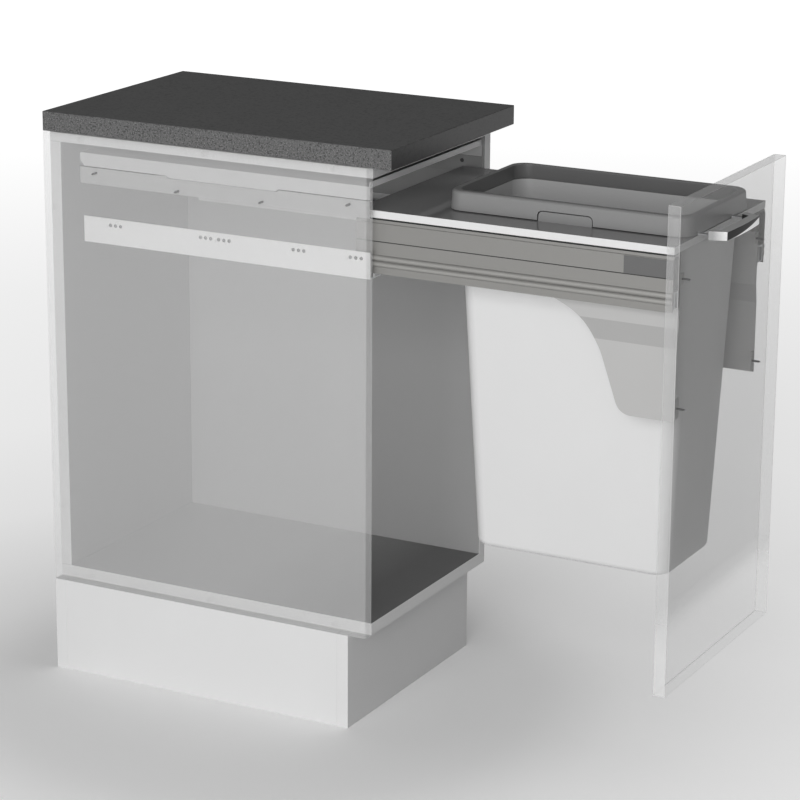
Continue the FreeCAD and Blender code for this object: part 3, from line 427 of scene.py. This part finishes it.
def merged(shapes):
    whole = bmesh.new()
    for shape in shapes:
        mesh = bpy.data.meshes.new("part")
        shape.to_mesh(mesh)
        shape.free()
        whole.from_mesh(mesh)
        bpy.data.meshes.remove(mesh)
    return whole


def carved(shape, cutters):                   # a shape with other shapes cut out of it
    meshes = []
    for source in [shape] + cutters:
        mesh = bpy.data.meshes.new("carving")
        source.to_mesh(mesh)
        source.free()
        meshes.append(bpy.data.objects.new("carving", mesh))
        bpy.context.scene.collection.objects.link(meshes[-1])
    for cutter in meshes[1:]:
        cut = meshes[0].modifiers.new("cut", "BOOLEAN")
        cut.operation, cut.solver, cut.object = "DIFFERENCE", "EXACT", cutter
    bpy.context.view_layer.update()
    done = meshes[0].evaluated_get(bpy.context.evaluated_depsgraph_get())
    result = bmesh.new()
    result.from_mesh(done.to_mesh())
    done.to_mesh_clear()
    for thing in meshes:
        mesh = thing.data
        bpy.data.objects.remove(thing)
        bpy.data.meshes.remove(mesh)
    return result


# Boards: eased edges

boards = {                                    # how far each board's edges are eased, in mm
    "worktop": 1.2, "side_panel_left": 0.7, "side_panel_right": 0.7, "bottom_panel": 0.5,
    "top_panel": 0.5, "back_panel": 0.5, "front_panel": 0.9, "plinth_front": 0.7,
    "plinth_back": 0.7, "plinth_side_left": 0.7, "plinth_side_right": 0.7}
boardEdge = {"segments": 3, "squareTo": 0.9, "flat": 0.99}
mainFinish = {"front_panel": "ghost_front_painted_shade"}   # where it differs from the record's
easedFinish = {"front_panel": "ghost_rim"}    # for the eased edges alone
sideways = [(-1, 0, 0), (1, 0, 0)]
endways = [(0, -1, 0), (0, 1, 0)]
upright = [(0, 0, 1), (0, 0, -1)]
otherFaces = {                                # other finishes, and the ways their faces look
    "worktop": [("counter_edge", sideways), ("counter_front_painted_shade", endways)],
    # the inside faces and the shelf take painted shade
    "side_panel_right": [("inside_painted_shade", [(-1, 0, 0)])],
    "back_panel": [("inside_painted_shade", [(0, -1, 0)])],
    "top_panel": [("inside_painted_shade", upright)],
    "bottom_panel": [("shelf_painted_shade", upright)],
    "front_panel": [("ghost_top", [(0, 0, 1)]), ("ghost_near_painted_shade", [(-1, 0, 0)]),
                    ("ghost_far_painted_shade", [(1, 0, 0)]), ("ghost_foot", [(0, 0, -1)])]}
for node, ease in boards.items():
    low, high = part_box(node)
    shape = blockBetween(low, high, ease * mm, boardEdge["segments"])
    others = otherFaces.get(node, [])
    for face in shape.faces:
        face.normal_update()
        for number, (finishName, ways) in enumerate(others, 1):
            if any(face.normal.dot(Vector(way)) > boardEdge["squareTo"] for way in ways):
                face.material_index = number
        if node in easedFinish and max(abs(part) for part in face.normal) < boardEdge["flat"]:
            face.material_index = len(others) + 1
    names = [mainFinish.get(node, slotOf[node])] + [finishName for finishName, ways in others]
    if node in easedFinish:
        names.append(easedFinish[node])
    addPiece(node + ".eased", shape, node, names)
print("boards eased:", len(boards))

# Steel and small plastic parts: the solids' own forms with broken edges

sheets = {
    "middle_rail_left": 0.3, "middle_rail_right": 0.3, "drawer_rail_left": 0.3,
    "drawer_rail_right": 0.3, "drawer_back": 0.3, "side_cover_left": 0.2,
    "side_cover_right": 0.2, "cabinet_glides": 0.3, "middle_glides_left": 0.3,
    "middle_glides_right": 0.3, "plinth_blocks": 0.8}
for node, ease in sheets.items():
    addPiece(node + ".softened", softened(node, ease * mm), node, [slotOf[node]])
print("sheets softened:", len(sheets))

# Lid and its brackets: a pale coat, a painted highlight on the lid's upturned front, painted shade
# in the seam and on the right bracket

cover = {
    "finishes": {"lid": "lid_steel", "lid_bracket_left": "lid_steel",
                 "lid_bracket_right": "lid_painted_shade"},
    "ease": 0.7, "seam": (813.0, 820.0), "seamLine": 0.8, "seamLean": 0.2, "frontLean": 0.6,
    "outerLean": 0.9, "outerArea": 0.005}


def inSeam(place):
    return cover["seam"][0] < place.z / mm < cover["seam"][1]


for node, finishName in cover["finishes"].items():
    shape = softened(node, cover["ease"] * mm)
    seamWay = -1 if node == "lid" else 1      # the lid's underside meets the brackets' tops
    for face in shape.faces:
        face.normal_update()
        # painted highlight: the lid's upturned front takes the white coat
        if node == "lid" and face.normal.y < -cover["frontLean"]:
            face.material_index = 1
        if inSeam(face.calc_center_median()) and face.normal.z * seamWay > cover["seamLean"]:
            face.material_index = 2
    if node != "lid":                         # the seam's painted shade shows as a line on the outer face
        outer = [face for face in shape.faces
                 if abs(face.normal.x) > cover["outerLean"]
                 and face.calc_area() > cover["outerArea"]
                 and face.normal.x * face.calc_center_median().x > 0]
        border = bmesh.ops.inset_region(
            shape, faces=outer, thickness=cover["seamLine"] * mm, use_even_offset=True)["faces"]
        for face in border:
            if all(inSeam(vertex.co) for vertex in face.verts):
                face.material_index = 2
    addPiece(node + ".softened", shape, node, [finishName, "white_steel", "painted_gap_shade"])
print("lid and brackets made")

# Drawer sides: painted shade in the groove and the gap under the plate, a painted highlight on the
# ribs

drawerSide = {
    "ease": 0.25, "outside": 160.0, "paintedShadeBands": ((756.1, 758.1), (788.6, 791.4)),
    "ribs": (721.0, 735.4), "ribFace": 173.8, "ribLean": 0.97}
for node in ("drawer_side_left", "drawer_side_right"):
    shape = softened(node, drawerSide["ease"] * mm)
    ribLow, ribHigh = drawerSide["ribs"]
    for face in shape.faces:
        face.normal_update()
        centre = face.calc_center_median() / mm
        inPaintedShade = any(low < centre.z < high for low, high in drawerSide["paintedShadeBands"])
        if inPaintedShade and abs(centre.x) > drawerSide["outside"]:
            face.material_index = 1
        elif (abs(face.normal.x) > drawerSide["ribLean"] and abs(centre.x) > drawerSide["ribFace"]
              and ribLow < centre.z < ribHigh):
            face.material_index = 2
    addPiece(node + ".softened", shape, node, ["drawer_steel", "painted_gap_shade", "rib_painted_highlight"])
print("drawer sides made")

# Cabinet rails: painted shade on the edges in the screw holes, and a black stop in the front of the
# channel

rail = {
    "ease": 0.25, "holeLevel": 730.8, "holeReach": 3.6, "holeLean": 0.8,
    "stopX": (170.2, 179.3), "stopY": (5.0, 16.0), "stopZ": (702.6, 708.4),
    "stopEase": 0.6, "stopSegments": 3}
for side, node in ((-1, "cabinet_rail_left"), (1, "cabinet_rail_right")):
    shape = softened(node, rail["ease"] * mm)
    for face in shape.faces:
        face.normal_update()
        rise = abs(face.calc_center_median().z - rail["holeLevel"] * mm)
        if rise < rail["holeReach"] * mm and abs(face.normal.x) < rail["holeLean"]:
            face.material_index = 1
    xs = sorted(side * x * mm for x in rail["stopX"])
    ys = [(y + frontLine) * mm for y in rail["stopY"]]
    zs = [z * mm for z in rail["stopZ"]]
    stop = blockBetween((xs[0], ys[0], zs[0]), (xs[1], ys[1], zs[1]),
                        rail["stopEase"] * mm, rail["stopSegments"])
    for face in stop.faces:
        face.material_index = 2
    addPiece(node + ".softened", merged([shape, stop]), node,
             ["white_steel", "painted_hole_shade", "stop_plastic"])
print("cabinet rails made")

# Front brackets: the folded band carries painted shade

bracket = {"ease": 0.35, "segments": 3, "foldLean": 0.05, "sideLean": 0.9, "foldArea": 0.0005}
for node in ("front_bracket_left", "front_bracket_right"):
    shape = softened(node, bracket["ease"] * mm, bracket["segments"])
    for face in shape.faces:
        face.normal_update()
        isSide = abs(face.normal.x) > bracket["sideLean"]
        isLarge = face.calc_area() > bracket["foldArea"]
        if isSide and isLarge and abs(face.normal.z) > bracket["foldLean"]:
            face.material_index = 1
    addPiece(node + ".softened", shape, node, ["bracket_steel", "bracket_fold_painted_shade"])
print("front brackets made")

# Carrier plate: glossy top, bright edges

plate = {"ease": 0.8, "segments": 3, "edgeLean": 0.5}
shape = softened("carrier_plate", plate["ease"] * mm, plate["segments"])
for face in shape.faces:
    if abs(face.normal.z) < plate["edgeLean"]:
        face.material_index = 1
addPiece("carrierPlate", shape, "carrier_plate", ["plate_plastic", "plate_edge"])
print("carrier plate made")

# Bin and bag ring: rounded outlines drawn up level by level

tub = {
    "bottom": 287.0, "plateTop": 802.5, "footHalf": 88.0, "topHalf": 107.0,
    "footY": (-435.0, -123.0), "topY": (-457.0, -94.0), "footCorner": 21.0, "footRound": 10.0,
    "wall": 2.5, "collar": 8.5, "flange": (7.0, 5.0), "flangeHeight": 3.0, "flangeEase": 0.6,
    "collarRoot": 0.4, "rimEase": 0.7, "seatRise": 1.0, "cornerSteps": 10, "middle": 600.0,
    "rimFrom": 0.5, "wallLean": 0.9}
lug = {
    "length": 84.0, "height": 14.5, "reach": 10.2, "root": 0.5, "lap": 1.2, "corner": 6.5,
    "cornerSteps": 6, "ease": 0.6, "easeSteps": 2, "easeFrom": 0.5, "sharp": 50}
ring = {
    "height": 30.0, "overlap": (11.0, 9.0), "draft": 1.5, "corner": 26.0, "cornerSteps": 12,
    "wall": 2.5, "topWall": 3.0, "edgeRound": 4.0, "edgeSteps": 5, "footRound": 1.6,
    "footEase": (0.4, 0.3), "lip": ((0.0, 2.0), (0.6, 0.6), (2.0, 0.0)), "skirtGap": 0.5,
    "footShadeReach": 0.8, "middle": 15.0, "wallLean": 0.7}
notch = {"x": (109.5, 125.0), "below": 20.0, "play": 1.5, "corner": 8.0, "cornerSteps": 6}
curveSteps = 5
plateTop = tub["plateTop"]
rim = plateTop + tub["collar"]
middleY = (tub["topY"][0] + tub["topY"][1]) / 2 + frontLine


def roundedOutline(halfX, ySpan, corner, steps, level):
    shape = bmesh.new()
    bmesh.ops.create_grid(shape, x_segments=1, y_segments=1, size=1.0)
    bmesh.ops.scale(shape, vec=(halfX * mm, (ySpan[1] - ySpan[0]) / 2 * mm, 1.0), verts=shape.verts)
    bmesh.ops.bevel(shape, geom=list(shape.verts), offset=corner * mm, affect="VERTICES",
                    segments=steps, profile=0.5, material=-1)
    centre = ((ySpan[0] + ySpan[1]) / 2 + frontLine) * mm
    bmesh.ops.translate(shape, vec=(0, centre, level * mm), verts=shape.verts)
    return shape


def levelSize(face):
    xs = [vertex.co.x for vertex in face.verts]
    ys = [vertex.co.y for vertex in face.verts]
    return (max(xs) - min(xs)) / 2, (max(ys) - min(ys)) / 2, (max(ys) + min(ys)) / 2


def drawUp(shape, levels):                    # each level is a height, a half width and a y span
    top = list(shape.faces)[0]
    for index, (level, halfX, ySpan) in enumerate(levels):
        grown = bmesh.ops.extrude_face_region(shape, geom=[top])
        newTop = [item for item in grown["geom"] if isinstance(item, bmesh.types.BMFace)][0]
        if index and top.is_valid and top is not newTop:
            bmesh.ops.delete(shape, geom=[top], context="FACES_ONLY")
        oldX, oldY, oldCentre = levelSize(newTop)
        halfY = (ySpan[1] - ySpan[0]) / 2 * mm
        centre = ((ySpan[0] + ySpan[1]) / 2 + frontLine) * mm
        for vertex in newTop.verts:
            vertex.co.x *= halfX * mm / oldX
            vertex.co.y = (vertex.co.y - oldCentre) * halfY / oldY + centre
            vertex.co.z = level * mm
        top = newTop


def endEdges(shape, high):                    # the upper edges across the two ends of a block
    return [edge for edge in shape.edges
            if all(vertex.co.z > (high - shaping["edgeReach"]) * mm for vertex in edge.verts)
            and abs(edge.verts[0].co.y - edge.verts[1].co.y) < shaping["mergeDistance"]]


def binLevel(height, insetX, insetY=None):    # one level of the bin, a way in from its outside
    share = min((height - tub["bottom"]) / (plateTop - tub["bottom"]), 1.0)
    foot = (tub["footHalf"], *tub["footY"])
    head = (tub["topHalf"], *tub["topY"])
    half, front, back = (first + (last - first) * share for first, last in zip(foot, head))
    insetY = insetX if insetY is None else insetY
    return height, half - insetX, (front + insetY, back - insetY)


def footCurve(bottom, radius, wall):
    for step in range(curveSteps + 1):
        angle = math.pi / 2 * step / curveSteps
        yield bottom + radius * (1 - math.cos(angle)), wall + radius * (1 - math.sin(angle))


start = binLevel(tub["bottom"], tub["footRound"])
shape = roundedOutline(start[1], start[2], tub["footCorner"], tub["cornerSteps"], start[0])
outX, outY = -tub["flange"][0], -tub["flange"][1]
ease, wall, rimEase = tub["flangeEase"], tub["wall"], tub["rimEase"]
flangeTop = plateTop + tub["flangeHeight"]
levels = [binLevel(*pair) for pair in footCurve(tub["bottom"], tub["footRound"], 0)][1:]
levels += [
    binLevel(plateTop - tub["seatRise"], 0), binLevel(plateTop, outX + ease, outY + ease),
    binLevel(plateTop + ease, outX, outY), binLevel(flangeTop - ease, outX, outY),
    binLevel(flangeTop, outX + ease, outY + ease), binLevel(flangeTop, -tub["collarRoot"]),
    binLevel(flangeTop + ease, 0), binLevel(rim - rimEase, 0), binLevel(rim, rimEase),
    binLevel(rim, wall - rimEase), binLevel(rim - rimEase, wall)]
inside = list(footCurve(tub["bottom"] + wall, tub["footRound"] - wall, wall))
levels += [binLevel(*pair) for pair in reversed(inside)]
drawUp(shape, levels)
bmesh.ops.recalc_face_normals(shape, faces=shape.faces)
binCentre = Vector((0, middleY, tub["middle"])) * mm
# painted shade: the inner walls are a darker copy of the bin's plastic
for face in shape.faces:
    face.normal_update()
    centre = face.calc_center_median()
    if centre.z > (plateTop - tub["rimFrom"]) * mm:
        face.material_index = 1
    elif face.normal.dot(binCentre - centre) > 0 and abs(face.normal.z) < tub["wallLean"]:
        face.material_index = 2
shapes = [shape]

for side in (-1, 1):
    far = tub["topHalf"] + lug["reach"]
    ys = [(middleY + end * lug["length"] / 2) * mm for end in (-1, 1)]
    blocks = [(tub["topHalf"] - lug["root"], far - lug["lap"], tub["flangeHeight"]),
              (far - tub["wall"], far, lug["height"])]
    for near, outer, height in blocks:
        xs = sorted((near * side * mm, outer * side * mm))
        high = plateTop + height
        shape = blockBetween((xs[0], ys[0], plateTop * mm), (xs[1], ys[1], high * mm))
        if height == lug["height"]:
            bevelEdges(shape, endEdges(shape, high), lug["corner"] * mm, lug["cornerSteps"])
        upper = [edge for edge in sharpEdges(shape, lug["sharp"])
                 if all(vertex.co.z > (plateTop + lug["easeFrom"]) * mm for vertex in edge.verts)]
        bevelEdges(shape, upper, lug["ease"] * mm, lug["easeSteps"])
        for face in shape.faces:
            face.material_index = 1
        shapes.append(shape)
addPiece("binShell", merged(shapes), "bin", ["bin_plastic", "bin_rim", "bin_inside_painted_shade"])
print("bin made")

ringX = tub["topHalf"] + ring["overlap"][0]
ringY = (tub["topY"][0] - ring["overlap"][1], tub["topY"][1] + ring["overlap"][1])
mouthX = tub["topHalf"] - tub["wall"]
mouthY = (tub["topY"][0] + tub["wall"], tub["topY"][1] - tub["wall"])


def ringLevel(rise, inset):                   # a level of the outside, a way in from it
    lean = ring["draft"] * rise / ring["height"] + inset
    return plateTop + rise, ringX - lean, (ringY[0] + lean, ringY[1] - lean)


def mouthLevel(level, grow):                  # a level of the mouth, a way out from it
    return level, mouthX + grow, (mouthY[0] - grow, mouthY[1] + grow)


foot, wall, height = ring["footRound"], ring["wall"], ring["height"]
ringTop = plateTop + height
skirtBottom = rim + ring["skirtGap"]
shape = roundedOutline(ringX - foot, (ringY[0] + foot, ringY[1] - foot),
                       ring["corner"] - foot, ring["cornerSteps"], plateTop)
levels = [ringLevel(foot * ring["footEase"][0], foot * ring["footEase"][1]),
          ringLevel(foot, 0.0)]
for step in range(ring["edgeSteps"] + 1):
    angle = math.pi / 2 * step / ring["edgeSteps"]
    levels.append(ringLevel(height - ring["edgeRound"] * (1 - math.sin(angle)),
                            ring["edgeRound"] * (1 - math.cos(angle))))
levels += [mouthLevel(ringTop - drop, grow) for drop, grow in ring["lip"]]
levels += [mouthLevel(skirtBottom, 0.0), mouthLevel(skirtBottom, wall),
           mouthLevel(ringTop - ring["topWall"], wall),
           ringLevel(height - ring["topWall"], wall), ringLevel(0.0, wall)]
drawUp(shape, levels)
ends = [face for face in shape.faces if len(face.verts) > 4]    # the first and last outline
borders = [edge for face in ends for edge in face.edges]
bmesh.ops.delete(shape, geom=ends, context="FACES_ONLY")
bmesh.ops.bridge_loops(shape, edges=borders)
bmesh.ops.recalc_face_normals(shape, faces=shape.faces)
cutters = []
for side in (-1, 1):
    xs = sorted(side * x * mm for x in notch["x"])
    ys = [(middleY + end * (lug["length"] / 2 + notch["play"])) * mm for end in (-1, 1)]
    high = plateTop + lug["height"] + notch["play"]
    cutter = blockBetween((xs[0], ys[0], (plateTop - notch["below"]) * mm),
                          (xs[1], ys[1], high * mm))
    bevelEdges(cutter, endEdges(cutter, high), notch["corner"] * mm, notch["cornerSteps"])
    cutters.append(cutter)
shape = carved(shape, cutters)
ringCentre = Vector((0, middleY, plateTop + ring["middle"])) * mm
# painted shade: the foot is a dark line, and the inner walls a darker copy of the ring's plastic
for face in shape.faces:
    face.normal_update()
    centre = face.calc_center_median()
    if centre.z < (plateTop + foot * ring["footShadeReach"]) * mm:
        face.material_index = 1
    elif face.normal.dot(ringCentre - centre) > 0 and abs(face.normal.z) < ring["wallLean"]:
        face.material_index = 2
addPiece("bagRing", shape, "bag_ring", ["ring_plastic", "painted_gap_shade", "ring_inside_painted_shade"])
print("bag ring made")

# Handle: a flat bow with rounded edges

handle = {
    "ease": 1.2, "segments": 4, "sharp": 30, "frontLean": 0.9, "endLean": 0.8, "topLean": 0.9,
    "edgeFront": 0.25, "edgeRise": (0.35, 0.99)}
shape = softened("handle", handle["ease"] * mm, handle["segments"], handle["sharp"])
lowRise, highRise = handle["edgeRise"]
# painted reflections on the front, the ends and the top, a painted glint on the top front edge
for face in shape.faces:
    face.normal_update()
    if face.normal.y < -handle["frontLean"]:
        face.material_index = 1
    elif abs(face.normal.x) > handle["endLean"]:
        face.material_index = 2
    elif face.normal.y < -handle["edgeFront"] and lowRise < face.normal.z < highRise:
        face.material_index = 3
    elif face.normal.z > handle["topLean"]:
        face.material_index = 4
addPiece("handleBow", shape, "handle",
         ["handle_chrome", "handle_front_painted_reflection", "handle_end_painted_reflection", "handle_edge_painted_glint", "handle_top_painted_reflection"])
print("handle made")

# Screws, rivets and dowels: outlines in mm, turned on the axes of the solids

turning = {"steps": 20, "mergeDistance": 1e-7, "endReach": 1e-4}    # distances in metres
screw = {                                     # dome: shares of the radius, and how far down
    "dome": ((0, 0.0), (0.35, 0.02), (0.62, 0.14), (0.84, 0.42), (0.96, 0.86), (1, 1.25)),
    "cap": 1.8, "capEase": 0.15, "collar": 0.8, "pitch": 1.25, "pointRoom": 2.4,
    "valley": 0.8, "crest": 0.98, "neck": 0.78, "tip": ((0.72, 2.2), (0.2, 0.2))}
recess = {"width": 0.8, "reach": 1.7, "depth": 1.1}
rivet = {
    "mouth": ((0, 0.3), (0.7, 0.3), (0.85, 0.02)), "dome": ((0.6, 0.1), (0.9, 0.5), (1, 0.95)),
    "shank": 1.0, "tail": ((0.95, 1.0), (0.95, 0.5), (0.7, 0.1), (0, 0))}
dowelChamfer = 0.8


def turned(outline, foot, way):               # outline: radius and distance along the axis
    shape = bmesh.new()
    points = [shape.verts.new((radius * mm, 0, along * mm)) for radius, along in outline]
    edges = [shape.edges.new(pair) for pair in zip(points, points[1:])]
    bmesh.ops.spin(shape, geom=points + edges, cent=(0, 0, 0), axis=(0, 0, 1), angle=math.tau,
                   steps=turning["steps"], use_merge=True)
    bmesh.ops.remove_doubles(shape, verts=shape.verts, dist=turning["mergeDistance"])
    bmesh.ops.recalc_face_normals(shape, faces=shape.faces)
    turn = Vector((0, 0, 1)).rotation_difference(way).to_matrix().to_4x4()
    bmesh.ops.transform(shape, matrix=Matrix.Translation(foot) @ turn, verts=shape.verts)
    return shape


def solidsOf(shape):                          # the vertices of each separate solid
    left = set(shape.verts)
    for first in shape.verts:
        if first not in left:
            continue
        left.remove(first)
        group, border = [], [first]
        while border:
            vertex = border.pop()
            group.append(vertex)
            near = {edge.other_vert(vertex) for edge in vertex.link_edges} & left
            left -= near
            border.extend(near)
        yield group


def fixingsOf(node):                          # head end, way to the tip, length and two radii
    shape = nodeShape(node)
    for group in solidsOf(shape):
        points = [vertex.co for vertex in group]
        low, high = (Vector([choose(point[axis] for point in points) for axis in range(3)])
                     for choose in (min, max))
        long = max(range(3), key=lambda number: high[number] - low[number])
        middle = (low + high) / 2
        radii = []                            # at the low and at the high end
        for end in (low, high):
            reaches = []
            for point in points:
                if abs(point[long] - end[long]) < turning["endReach"]:
                    away = point - middle
                    away[long] = 0
                    reaches.append(away.length / mm)
            radii.append(max(reaches))
        upwards = radii[0] >= radii[1]
        way = Vector((0, 0, 0))
        way[long] = 1 if upwards else -1
        foot = middle.copy()
        foot[long] = low[long] if upwards else high[long]
        yield foot, way, (high[long] - low[long]) / mm, max(radii), min(radii)
    shape.free()


def screwOutline(length, head, core):
    cap, pitch = screw["cap"], screw["pitch"]
    outline = [(share * head, along) for share, along in screw["dome"]]
    outline += [(head, cap - screw["capEase"]), (head - screw["capEase"], cap), (core, cap)]
    along = cap + screw["collar"]
    while along + pitch < length - screw["pointRoom"]:
        outline += [(core * screw["valley"], along), (core * screw["crest"], along + pitch / 2)]
        along += pitch
    outline.append((core * screw["neck"], along))
    outline += [(core * share, length - back) for share, back in screw["tip"]]
    return outline + [(0, length)]


def rivetOutline(length, head, core):
    shank = rivet["shank"]
    return (list(rivet["mouth"]) + [(share * head, along) for share, along in rivet["dome"]]
            + [(core, shank), (core, length - shank)]
            + [(share * head, length - back) for share, back in rivet["tail"]])


def dowelOutline(length, head, core):
    narrow = head - dowelChamfer
    return [(0, 0), (narrow, 0), (head, dowelChamfer), (head, length - dowelChamfer),
            (narrow, length), (0, length)]


fixings = {                                   # each node's outline and finish
    "worktop_screws": (screwOutline, "fixing_steel"),
    "plinth_screws": (screwOutline, "fixing_steel"),
    "rail_screws": (screwOutline, "fixing_steel"),
    "plate_screws": (screwOutline, "fixing_steel"),
    "front_fixing_screws": (screwOutline, "dark_fixing"),
    "handle_screws": (screwOutline, "fixing_steel"),
    "lid_bracket_screws": (screwOutline, "dark_fixing"),
    "drawer_back_rivets": (rivetOutline, "fixing_steel"),
    "bracket_rivets": (rivetOutline, "fixing_steel"),
    "carcass_dowels": (dowelOutline, "timber")}
clearedBelow = {"rail_screws": -180.9, "carcass_dowels": 0.0}   # x inside the see-through board
for node, (outlineOf, finishName) in fixings.items():
    shapes, bars = [], ([], [])               # the two bars of the cross recesses
    for foot, way, length, head, core in fixingsOf(node):
        shapes.append(turned(outlineOf(length, head, core), foot, way))
        if outlineOf is screwOutline:
            axis = max(range(3), key=lambda number: abs(way[number]))
            crossways = [number for number in range(3) if number != axis]
            for bar, (long, short) in zip(bars, (crossways, crossways[::-1])):
                half = Vector((0, 0, 0))
                half[long], half[short] = recess["reach"] * mm, recess["width"] / 2 * mm
                half[axis] = recess["depth"] * mm
                bar.append(blockBetween(foot - half, foot + half))
    shape = merged(shapes)
    if bars[0]:
        shape = carved(shape, [merged(bar) for bar in bars])
    names = [finishName]
    if node in clearedBelow:
        names.append("cleared_fixing")
        for face in shape.faces:
            if face.calc_center_median().x < clearedBelow[node] * mm:
                face.material_index = 1
    addPiece(node + ".turned", shape, node, names)
print("fixings turned:", len(fixings))

for node, thing in frame["nodes"].items():
    thing.data.materials.clear()
    thing.data.materials.append(finishes[slotOf[node]])

# Floor, backdrop, light and camera

ground = {
    "size": 60.0, "middle": (-0.12, 0.19, 0.0), "reach": 7.0, "tone": tone(238),
    "roughness": 0.9, "specular": 0.1,
    "glowAndPaintedShade": [(0.045, 0.15), (0.060, 0.175), (0.080, 0.295), (0.106, 0.385), (0.141, 0.49),
             (0.214, 0.58), (0.371, 0.66), (0.70, 0.90), (0.93, 1.0)]}
shape = bmesh.new()
bmesh.ops.create_grid(shape, x_segments=1, y_segments=1, size=ground["size"] / 2)
mesh = bpy.data.meshes.new("floor")
shape.to_mesh(mesh)
shape.free()
floor = bpy.data.objects.new("floor", mesh)
bpy.context.scene.collection.objects.link(floor)

floorFinish = Finish("paleFloor", {
    "Roughness": ground["roughness"], "Base Color": ground["tone"],
    "Specular IOR Level": ground["specular"], "Emission Strength": 1.0})
seen, glossy, through = (floorFinish.node("ShaderNodeLightPath", {}, {}, output) for output in (
    "Is Camera Ray", "Is Glossy Ray", "Is Transmission Ray"))
away = floorFinish.node("ShaderNodeVectorMath", {"operation": "DISTANCE"},
                        {0: floorFinish.place, 1: ground["middle"]}, 1)
# painted shade: the backdrop glow is darkest near the cabinet and brighter further away
glowAndPaintedShade = floorFinish.ramp(away * (1 / ground["reach"]), ground["glowAndPaintedShade"])
floorFinish.feed(floorFinish.shader.inputs["Emission Color"],
                 floorFinish.blend(seen + glossy + through, (0.0, 0.0, 0.0, 1.0), glowAndPaintedShade))
mesh.materials.append(floorFinish.material)

lamp = {
    "place": (-5.6, -0.95, 1.9), "aim": (0.0, 0.0, 0.5), "size": 4.0, "watts": 218, "sky": 0.16}
world = bpy.data.worlds.new("studio")
bpy.context.scene.world = world
world.use_nodes = True
background = world.node_tree.nodes["Background"]
background.inputs["Color"].default_value = (1, 1, 1, 1)
background.inputs["Strength"].default_value = lamp["sky"]

light = bpy.data.lights.new("keyLeft", "AREA")
light.size = lamp["size"]
light.energy = lamp["watts"]
thing = bpy.data.objects.new("keyLeft", light)
thing.location = lamp["place"]
aim = Vector(lamp["aim"]) - Vector(lamp["place"])
thing.rotation_euler = aim.to_track_quat("-Z", "Y").to_euler()
bpy.context.scene.collection.objects.link(thing)

view = {                                      # angles in degrees, the focal length in pixels
    "place": (-3.84988, -1.99154 + frontLine * mm, 1.74770), "yaw": 62.067, "pitch": 16.392,
    "roll": 0.3618, "focal": 2960.13, "pixels": 800, "sensor": 36, "farthest": 100}
yaw, pitch, roll = (math.radians(view[key]) for key in ("yaw", "pitch", "roll"))
forward = Vector((math.cos(pitch) * math.sin(yaw), math.cos(pitch) * math.cos(yaw),
                  -math.sin(pitch)))
right = forward.cross(Vector((0, 0, 1))).normalized()
up = right.cross(forward)
rightRolled = right * math.cos(roll) + up * math.sin(roll)
upRolled = up * math.cos(roll) - right * math.sin(roll)
camera = bpy.data.objects.new("photoView", bpy.data.cameras.new("photoView"))
turn = Matrix((rightRolled, upRolled, -forward)).transposed().to_4x4()
camera.matrix_world = Matrix.Translation(view["place"]) @ turn
camera.data.sensor_width = view["sensor"]
camera.data.lens = view["focal"] / view["pixels"] * view["sensor"]
camera.data.clip_end = view["farthest"]
bpy.context.scene.collection.objects.link(camera)
bpy.context.scene.camera = camera
bpy.context.scene.view_settings.view_transform = "Standard"
print("floor, light and camera set")
